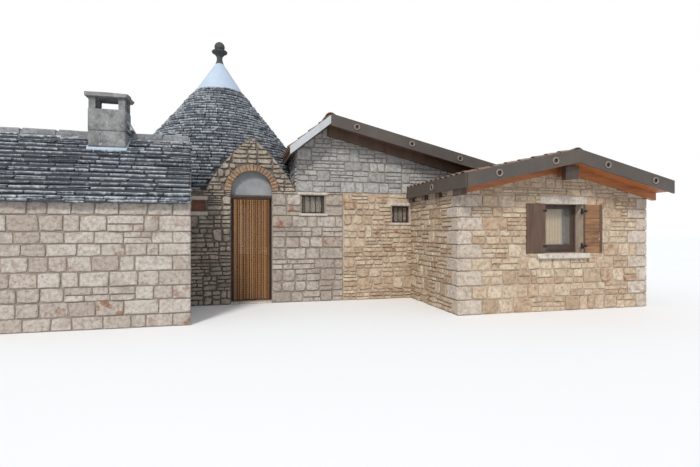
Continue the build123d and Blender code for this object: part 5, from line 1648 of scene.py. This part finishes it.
@dataclass
class Eaves:
    """Fascias, rafters and soffits of the tiled roofs."""

    sizes: Sizes
    board: float = 0.095
    plank: float = 1.1
    plug: float = 0.125
    plug_drop: float = 0.09
    house_plugs: tuple[float, ...] = (2.837, 4.039, 5.153)
    room_plugs: tuple[float, ...] = (4.68, 5.77, 6.85, 7.90)
    eave_plug_y: float = -4.1
    front_end_x: float = 5.9
    timber_y: float = 0.62
    timber_step: float = 0.66

    def soffit(self, x0: float, x1: float, y0: float, y1: float) -> list[Box]:
        """Lists the boards under a verge, lengthways of the slope, with heights from the roof line."""
        count = max(1, round((y1 - y0) / self.board))
        step = (y1 - y0) / count
        pieces = max(1, round(abs(x1 - x0) / self.plank))
        low = -self.sizes.roof_t
        ends = [x0 + (x1 - x0) * i / pieces for i in range(pieces + 1)]
        return [((a, y0 + i * step + 0.003, low - 0.012), (b, y0 + (i + 1) * step - 0.003, low + 0.004))
                for i in range(count) for a, b in pairwise(ends)]

    def plugs(self, shop: Workshop) -> None:
        """Sets the round ends of the ties along the fascias."""
        s = self.sizes
        house, room, eave = (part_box(node)[0] for node in ("house_fascia", "room_fascia", "room_eave_fascia"))
        front, left = (math.pi / 2, 0.0, 0.0), (0.0, -math.pi / 2, 0.0)
        spots = [((x, house.y, s.house_top(x) - self.plug_drop), front) for x in self.house_plugs]
        spots += [((x, room.y, s.room_top(x) - self.plug_drop), front) for x in self.room_plugs]
        spots.append(((eave.x, self.eave_plug_y, s.room_top(s.room_eave_x) - self.plug_drop), left))
        ring, bolt = (self.plug, self.plug, 0.06), (self.plug * 0.5, self.plug * 0.5, 0.045)
        # The rings are painted lighter than the fascia as a painted highlight; the bolts are black iron
        for name, size, finish, slot in (("fascia_plugs", ring, "ring_painted_highlight", "fascia_paint"),
                                         ("fascia_bolts", bolt, "black_iron", "black_iron")):
            shop.place(name, [(place, turn, size, 0.5) for place, turn in spots], shop.plug, finish, slot)

    def dark_ends(self, shop: Workshop) -> None:
        """Blocks the dark ends of the ridge beam and of the timbers under the left eave."""
        s = self.sizes
        beam_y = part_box("room_timbers")[0].y
        under, ridge = -s.roof_t, s.room_ridge_x
        out = s.room_eave_x - 0.012
        drop = under - 0.15
        blocks = [((ridge - 0.19, beam_y - 0.07, drop - 0.15), (ridge + 0.085, beam_y + 0.05, drop + 0.08))]
        for i in range(3):
            y = s.room_front + self.timber_y + self.timber_step * i
            blocks.append(((out, y - 0.02, under - 0.14), (s.room_x + 0.02, y + 0.13, under)))
        y = s.room_front
        blocks.append(((out, y - 0.20, under - 0.165), (s.room_x + 0.045, y + 0.04, under)))
        shop.block("beam_ends", blocks, "dark_wood", 0.006, 12,
                   lambda point: s.room_top(point.x))

    def verges(self, shop: Workshop) -> None:
        """Renders the edges of the house roof's left slope."""
        s = self.sizes
        x0, x1, low = s.house_x - 0.175, s.ridge_x + 0.004, -s.roof_t - 0.01
        edges = ((s.verge_y - 0.028, s.verge_y + 0.01), (s.back_verge_y - 0.01, s.back_verge_y + 0.028))
        bands = [((x0, y0, low), (x1, y1, 0.0)) for y0, y1 in edges]
        shop.block("left_verge", bands, "verge_render", 0.008, 2,
                   lambda point: s.house_top(point.x))

    def build(self, shop: Workshop) -> None:
        """Boards the soffits and finishes the fascias and timbers."""
        s = self.sizes
        front, inside = s.room_verge_y + 0.01, s.eave_x - 0.01
        verge, back = (s.verge_y + 0.01, s.front_y), (s.house_back, s.back_verge_y - 0.01)
        left = s.house_x - 0.12
        side = (s.house_right, s.eave_x - 0.004, s.room_front, s.house_back)
        slopes = {
            "soffit_house_left": (s.house_top, [(left, s.ridge_x, *verge), (left, s.ridge_x, *back)]),
            "soffit_house_right": (s.house_top, [(s.ridge_x, self.front_end_x, *verge),
                                                 (s.ridge_x, inside, *back), side]),
            "soffit_room": (s.room_top, [(s.room_eave_x + 0.01, s.room_ridge_x, front, s.room_front),
                                         (s.room_ridge_x, inside, front, s.room_front)]),
            "soffit_room_left": (s.room_top, [(s.room_eave_x + 0.002, s.room_x, s.room_front, s.front_y)]),
        }
        for name, (top, stretches) in slopes.items():
            boxes = [box for stretch in stretches for box in self.soffit(*stretch)]
            # The main house's soffits take the darker shutter wood as painted shade; the wing's soffits keep
            # their own timber colour
            finish = "shutter_wood" if "house" in name else "soffit_timber"
            shop.block(name, boxes, finish, 0.003, len(name), lambda point: top(point.x))
        self.plugs(shop)
        self.dark_ends(shop)
        self.verges(shop)
        shop.dress("fascia_paint", "house_fascia", "room_fascia", "room_eave_fascia")
        # The house rafter takes the darker shutter wood as painted shade under the fascia
        shop.dress("shutter_wood", "house_rafter")
        shop.dress("brown_timber", "room_timbers")


@dataclass
class Entrance:
    """The entrance door, its frame, arch, step and bead curtain."""

    sizes: Sizes
    arch_out: float = 0.532
    arch_z: float = 2.28
    voussoirs: int = 21
    strands: int = 31
    bead: float = 0.034
    seed: int = 71

    def arch(self, shop: Workshop) -> None:
        """Raises the thin stones that stand round the arch."""
        s = self.sizes
        rng = random.Random(self.seed)
        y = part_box("arch_ring")[0].y + 0.004
        gap = 0.012
        cells = []
        for i in range(self.voussoirs):
            a0 = math.pi * i / self.voussoirs + gap
            a1 = math.pi * (i + 1) / self.voussoirs - gap
            outer = self.arch_out + rng.uniform(-0.012, 0.012)
            outline = [(s.door_mid + r * math.cos(a), y, self.arch_z + r * math.sin(a))
                       for r, a in ((s.arch_r, a0), (outer, a0), (outer, a1), (s.arch_r, a1))]
            cells.append((outline, rng.random(), rng.uniform(0.7, 1.15)))
        shop.raise_stones("arch_stones", cells, 0.03, 0.006, "arch_stone", "rubble_stone")

    def build(self, shop: Workshop) -> None:
        """Finishes the door and hangs the beads."""
        self.arch(shop)
        dress = shop.dress
        dress("dark_wood", "door_frame", "door_leaf")
        dress("clear_glass", "door_glass")
        dress("black_iron", "door_pintles", "door_straps")
        dress("brass_metal", "door_handle")
        dress("red_brown_wood", "hatch")
        dress("dressed_stone", "threshold")
        dress("rough_stone", "arch_ring")
        dress("grey_render", "tympanum")
        low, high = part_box("hatch")
        face = self.sizes.front_y
        x0, x1, back = low.x - 0.05, high.x + 0.05, face + 0.02
        stones = [((x0, face - 0.022, high.z + 0.005), (x1, back, high.z + 0.085)),
                  ((x0, face - 0.03, low.z - 0.085), (x1, back, low.z - 0.005))]
        shop.block("hatch_stones", stones, "dressed_stone", 0.012, seed=9)
        self.beads(shop)

    def beads(self, shop: Workshop) -> None:
        """Hangs strands of wooden beads from their rail."""
        rng = random.Random(self.seed)
        low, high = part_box("bead_curtain")
        copies = []
        left, right = low.x + 0.05, high.x - 0.05
        y, top = (low.y + high.y) / 2, high.z - 0.045
        count = int((top - low.z) / self.bead)
        for strand in range(self.strands):
            x = left + (right - left) * strand / (self.strands - 1) + rng.uniform(-0.004, 0.004)
            tone = 0.15 if strand % 5 in (0, 3) else rng.uniform(0.55, 1.0)
            for i in range(count):
                copies.append((
                    (x + rng.uniform(-0.0015, 0.0015), y + rng.uniform(-0.002, 0.002),
                     top - (i + 0.5) * self.bead),
                    (0.0, 0.0, rng.uniform(0, 1.0)),
                    (0.017, 0.017, self.bead * 0.96),
                    tone))
        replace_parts(shop.place("bead_strands", copies, shop.bead, "bead_wood", "bead_wood"), "bead_curtain")
        inset = 0.003
        rail = ((low.x + inset, low.y + inset, high.z - 0.032),
                (high.x - inset, high.y - inset, high.z - 0.002))
        shop.block("bead_rail", [rail], "dark_wood", 0.003)


@dataclass
class Windows:
    """Windows, shutters and their stones."""

    sizes: Sizes
    frame: float = 0.035
    small_frame: float = 0.03
    stile: float = 0.07
    rail: float = 0.11
    bar: float = 0.014
    barred_size: Point = (0.41, 0.365)
    vine_size: Point = (0.48, 0.38)
    bars: int = 4
    boards: int = 7

    def joinery(self, shop: Workshop) -> None:
        """Builds the wing window's frame and sash."""
        low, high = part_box("room_window")
        f, bottom = self.frame, self.frame + 0.008
        bars = frame_bars(low, high, f, bottom, f)
        sash = (low.x + f, low.y + 0.012, low.z + bottom), (high.x - f, high.y - 0.006, high.z - f)
        bars += frame_bars(*sash, self.stile, self.rail, 0.05)
        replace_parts(shop.block("window_joinery", bars, "dark_wood", 0.006), "room_window")

    def curtain(self, shop: Workshop, name: str, x0: float, x1: float, z0: float, z1: float, y: float,
                swell: float, waves: int, cloth: str) -> None:
        """Hangs a thin curtain in folds from its rod.

        Args:
            shop: The shared trees and finishes.
            name: Name of the piece.
            x0: Left side.
            x1: Right side.
            z0: Lower hem.
            z1: Height of the rod.
            y: Where it hangs.
            swell: Half depth of the folds.
            waves: Number of folds.
            cloth: Its finish.
        """
        steps, rows = waves * 10, 12
        count = steps + 1
        line = [(x0 + (x1 - x0) * i / steps, math.sin(math.tau * waves * i / steps)) for i in range(count)]
        points, faces = [], []
        for row in range(rows + 1):
            fall = row / rows
            depth, z = swell * (0.55 + 0.45 * fall), z1 + (z0 - z1) * fall
            points += [(x, y + depth * w + 0.004 * math.sin(9 * x + 5 * fall), z) for x, w in line]
        for row, i in product(range(rows), range(steps)):
            a = row * count + i
            faces.append((a, a + count, a + count + 1, a + 1))
        sheet = new_object(name, points, faces)
        sheet.modifiers.new("thickness", "SOLIDIFY").thickness = 0.0012
        for polygon in sheet.data.polygons:
            polygon.use_smooth = True
        bake(sheet).data.materials.append(shop.palette[cloth])
        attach(sheet, HOUSE)
        log.info("%s: %d faces", name, len(sheet.data.polygons))
        thick = 0.006
        pole = ((x0 - 0.01, y - thick, z1 - thick), (x1 + 0.01, y + thick, z1 + thick))
        rod = shop.block(name + "_rod", [pole], "brass_metal", 0.003)

    def shutters(self, shop: Workshop) -> None:
        """Builds the two board shutters with their straps."""
        low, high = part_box("shutters")
        left, right = (end.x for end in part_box("room_window"))
        z0, z1, back = low.z + 0.002, high.z - 0.002, high.y - 0.002
        plain = [((low.x + 0.002, low.y + 0.006, z0), (low.x + 0.075, back, z1)),
                 ((low.x + 0.078, low.y + 0.008, z0), (left - 0.002, back, z1))]
        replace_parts(shop.block("left_shutter", plain, "shutter_wood", 0.005, seed=4), "shutters")
        gap, tall = 0.006, (high.z - low.z) / self.boards
        levels = [low.z + i * tall for i in range(self.boards)]
        boards = [((right + 0.005, low.y + 0.010, z + gap), (high.x - 0.06, back, z + tall - gap))
                  for z in levels]
        shop.block("right_shutter_boards", boards, "board_wood", seed=6)
        stiles = [((x0, low.y + 0.004, low.z + 0.001), (x1, high.y - 0.001, high.z - 0.001))
                  for x0, x1 in ((high.x - 0.06, high.x - 0.001), (right + 0.001, right + 0.028))]
        shop.block("right_shutter_stiles", stiles, "shutter_wood", seed=8)
        hinges = []
        for z in (low.z + 0.13, high.z - 0.13):
            hinges.append(((right - 0.045, high.y - 0.008, z - 0.055),
                           (right - 0.012, high.y + 0.012, z + 0.055)))
            hinges += [((x - 0.04, low.y + 0.002, z - 0.02), (x + 0.04, low.y + 0.012, z + 0.02))
                       for x in (right + 0.02, left - 0.02)]
        shop.block("shutter_hinges", hinges, "black_iron", 0.003)

    def small(self, shop: Workshop) -> None:
        """Builds the two small windows with their frames, bars, curtains and sills."""
        low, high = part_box("small_windows")
        face, bar, out = self.sizes.front_y, self.bar, low.y - 0.028
        (wide, tall), (vine_wide, vine_tall) = self.barred_size, self.vine_size
        spots = [(high.x - wide, high.x, low.z, low.z + tall),
                 (low.x, low.x + vine_wide, high.z - vine_tall, high.z)]
        frames, bars, sills, panes = [], [], [], []
        for x0, x1, z0, z1 in spots:
            frames += frame_bars((x0, low.y, z0), (x1, high.y, z1), *[self.small_frame] * 3)
            middles = [x0 + (x1 - x0) * (i + 0.5) / self.bars for i in range(self.bars)]
            bars += [((x - bar / 2, out, z0), (x + bar / 2, out + bar, z1)) for x in middles]
            lintel = min(z1 + 0.075, self.sizes.drum_h)
            sills += [((x0 - 0.07, face - 0.036, z0 - 0.055), (x1 + 0.07, face + 0.05, z0 - 0.002)),
                      ((x0 - 0.09, face - 0.032, z1 + 0.002), (x1 + 0.07, face + 0.05, lintel))]
            panes.append(((x0 + 0.02, high.y - 0.022, z0 + 0.02), (x1 - 0.02, high.y - 0.018, z1 - 0.02)))
        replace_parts(shop.block("small_frames", frames, "dark_wood"), "small_windows")
        shop.block("small_window_bars", bars, "black_iron")
        shop.block("small_window_sills", sills, "dressed_stone", 0.012, seed=3)
        shop.block("small_window_panes", panes, "clear_glass", 0.0005)
        # The small curtains take the lace darkened as painted shade
        for index, (x0, x1, z0, z1) in enumerate(spots, 1):
            self.curtain(shop, f"small_curtain_{index}", x0 + 0.01, x1 - 0.01, z0 + 0.02, z1 - 0.02,
                         high.y + 0.03, 0.01, 5, "lace_in_painted_shade")

    def build(self, shop: Workshop) -> None:
        """Builds the windows, curtains and shutters and finishes their stones."""
        low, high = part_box("room_window")
        self.joinery(shop)
        # The lace's colour is partly its own cream and partly painted lamp glow from inside
        self.curtain(shop, "lace_curtain", low.x + 0.05, low.x + 0.60, low.z + 0.06, high.z - 0.03,
                     high.y + 0.045, 0.016, 9, "lace_with_painted_glow")
        self.shutters(shop)
        self.small(shop)
        first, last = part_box("room_window_stones")
        sill = ((first.x - 0.11, first.y - 0.02, first.z - 0.03),
                (last.x + 0.005, high.y - 0.1, low.z - 0.002))
        shop.block("window_sill", [sill], "dressed_stone", 0.014, seed=5)
        shop.dress("dressed_stone", "room_window_stones", "floors")
        shop.dress("clear_glass", "room_glass")


@dataclass
class Studio:
    """Camera, light and backdrop."""

    place: Place = (0.52, -11.89, 1.45)
    heading: float = math.radians(-14.0)
    lens: float = 22.63

    def build(self) -> None:
        """Sets the camera, the lights, the floor and a white sky."""
        scene = bpy.context.scene
        camera = bpy.data.objects.new("camera", bpy.data.cameras.new("camera"))
        scene.collection.objects.link(camera)
        camera.location = self.place
        camera.rotation_euler = (math.pi / 2, 0.0, self.heading)
        camera.data.lens = self.lens
        camera.data.sensor_width = 36.0
        camera.data.shift_y = -0.0021
        camera.data.clip_start, camera.data.clip_end = 0.05, 500.0
        scene.camera = camera
        scene.view_settings.view_transform = "Standard"
        self.sky()
        self.sun()
        self.floor()

    def sun(self) -> None:
        """Adds a soft, slightly warm sun."""
        light = bpy.data.lights.new("key", "SUN")
        light.energy, light.angle, light.color = 2.6, math.radians(12.0), (1.0, 0.97, 0.92)
        obj = bpy.data.objects.new("key", light)
        obj.rotation_euler = (math.radians(48), 0.0, math.radians(-28))
        bpy.context.scene.collection.objects.link(obj)

    def sky(self) -> None:
        """Makes a world that lights softly and looks white."""
        world = bpy.data.worlds.new("studio")
        bpy.context.scene.world = world
        world.use_nodes = True
        tree = Tree(world.node_tree)
        world.node_tree.nodes.clear()
        rays = tree.add("ShaderNodeLightPath")
        seen = tree.math("MAXIMUM", rays.outputs["Is Camera Ray"], rays.outputs["Is Transmission Ray"])
        soft = tree.add("ShaderNodeBackground", Color=(0.86, 0.92, 1.0, 1.0), Strength=0.75)
        white = tree.add("ShaderNodeBackground", Color=(1.0, 1.0, 1.0, 1.0), Strength=1.0)
        mix = tree.add("ShaderNodeMixShader", Fac=seen)
        for index, light in enumerate((soft, white), 1):
            tree.feed(mix.inputs[index], light.outputs[0])
        tree.add("ShaderNodeOutputWorld", Surface=mix.outputs[0])

    def floor(self) -> None:
        """Lays a wide pale floor."""
        size = 120.0
        corners = [(x, y, -0.002) for x, y in rectangle(-size, -size, size, size)]
        floor = new_object("floor", corners, [(0, 1, 2, 3)])
        tree = MaterialTree("floor_paint")
        tree.colour(tree.ramp(tree.noise(0.2), [(0.0, (0.80, 0.80, 0.80)), (1.0, (0.84, 0.84, 0.84))]))
        tree.shine(Roughness=0.9)
        floor.data.materials.append(tree.material)


def main() -> None:
    """Builds and dresses every sub-assembly, then sets the studio."""
    shop = Workshop()
    sizes = Sizes()
    Walls(sizes).build(shop)
    ConeRoof(sizes).build(shop)
    KitchenRoof(sizes).build(shop)
    TiledRoofs(sizes).build(shop)
    Eaves(sizes).build(shop)
    Entrance(sizes).build(shop)
    Windows(sizes).build(shop)
    Studio().build()


if __name__ == "__main__":
    main()
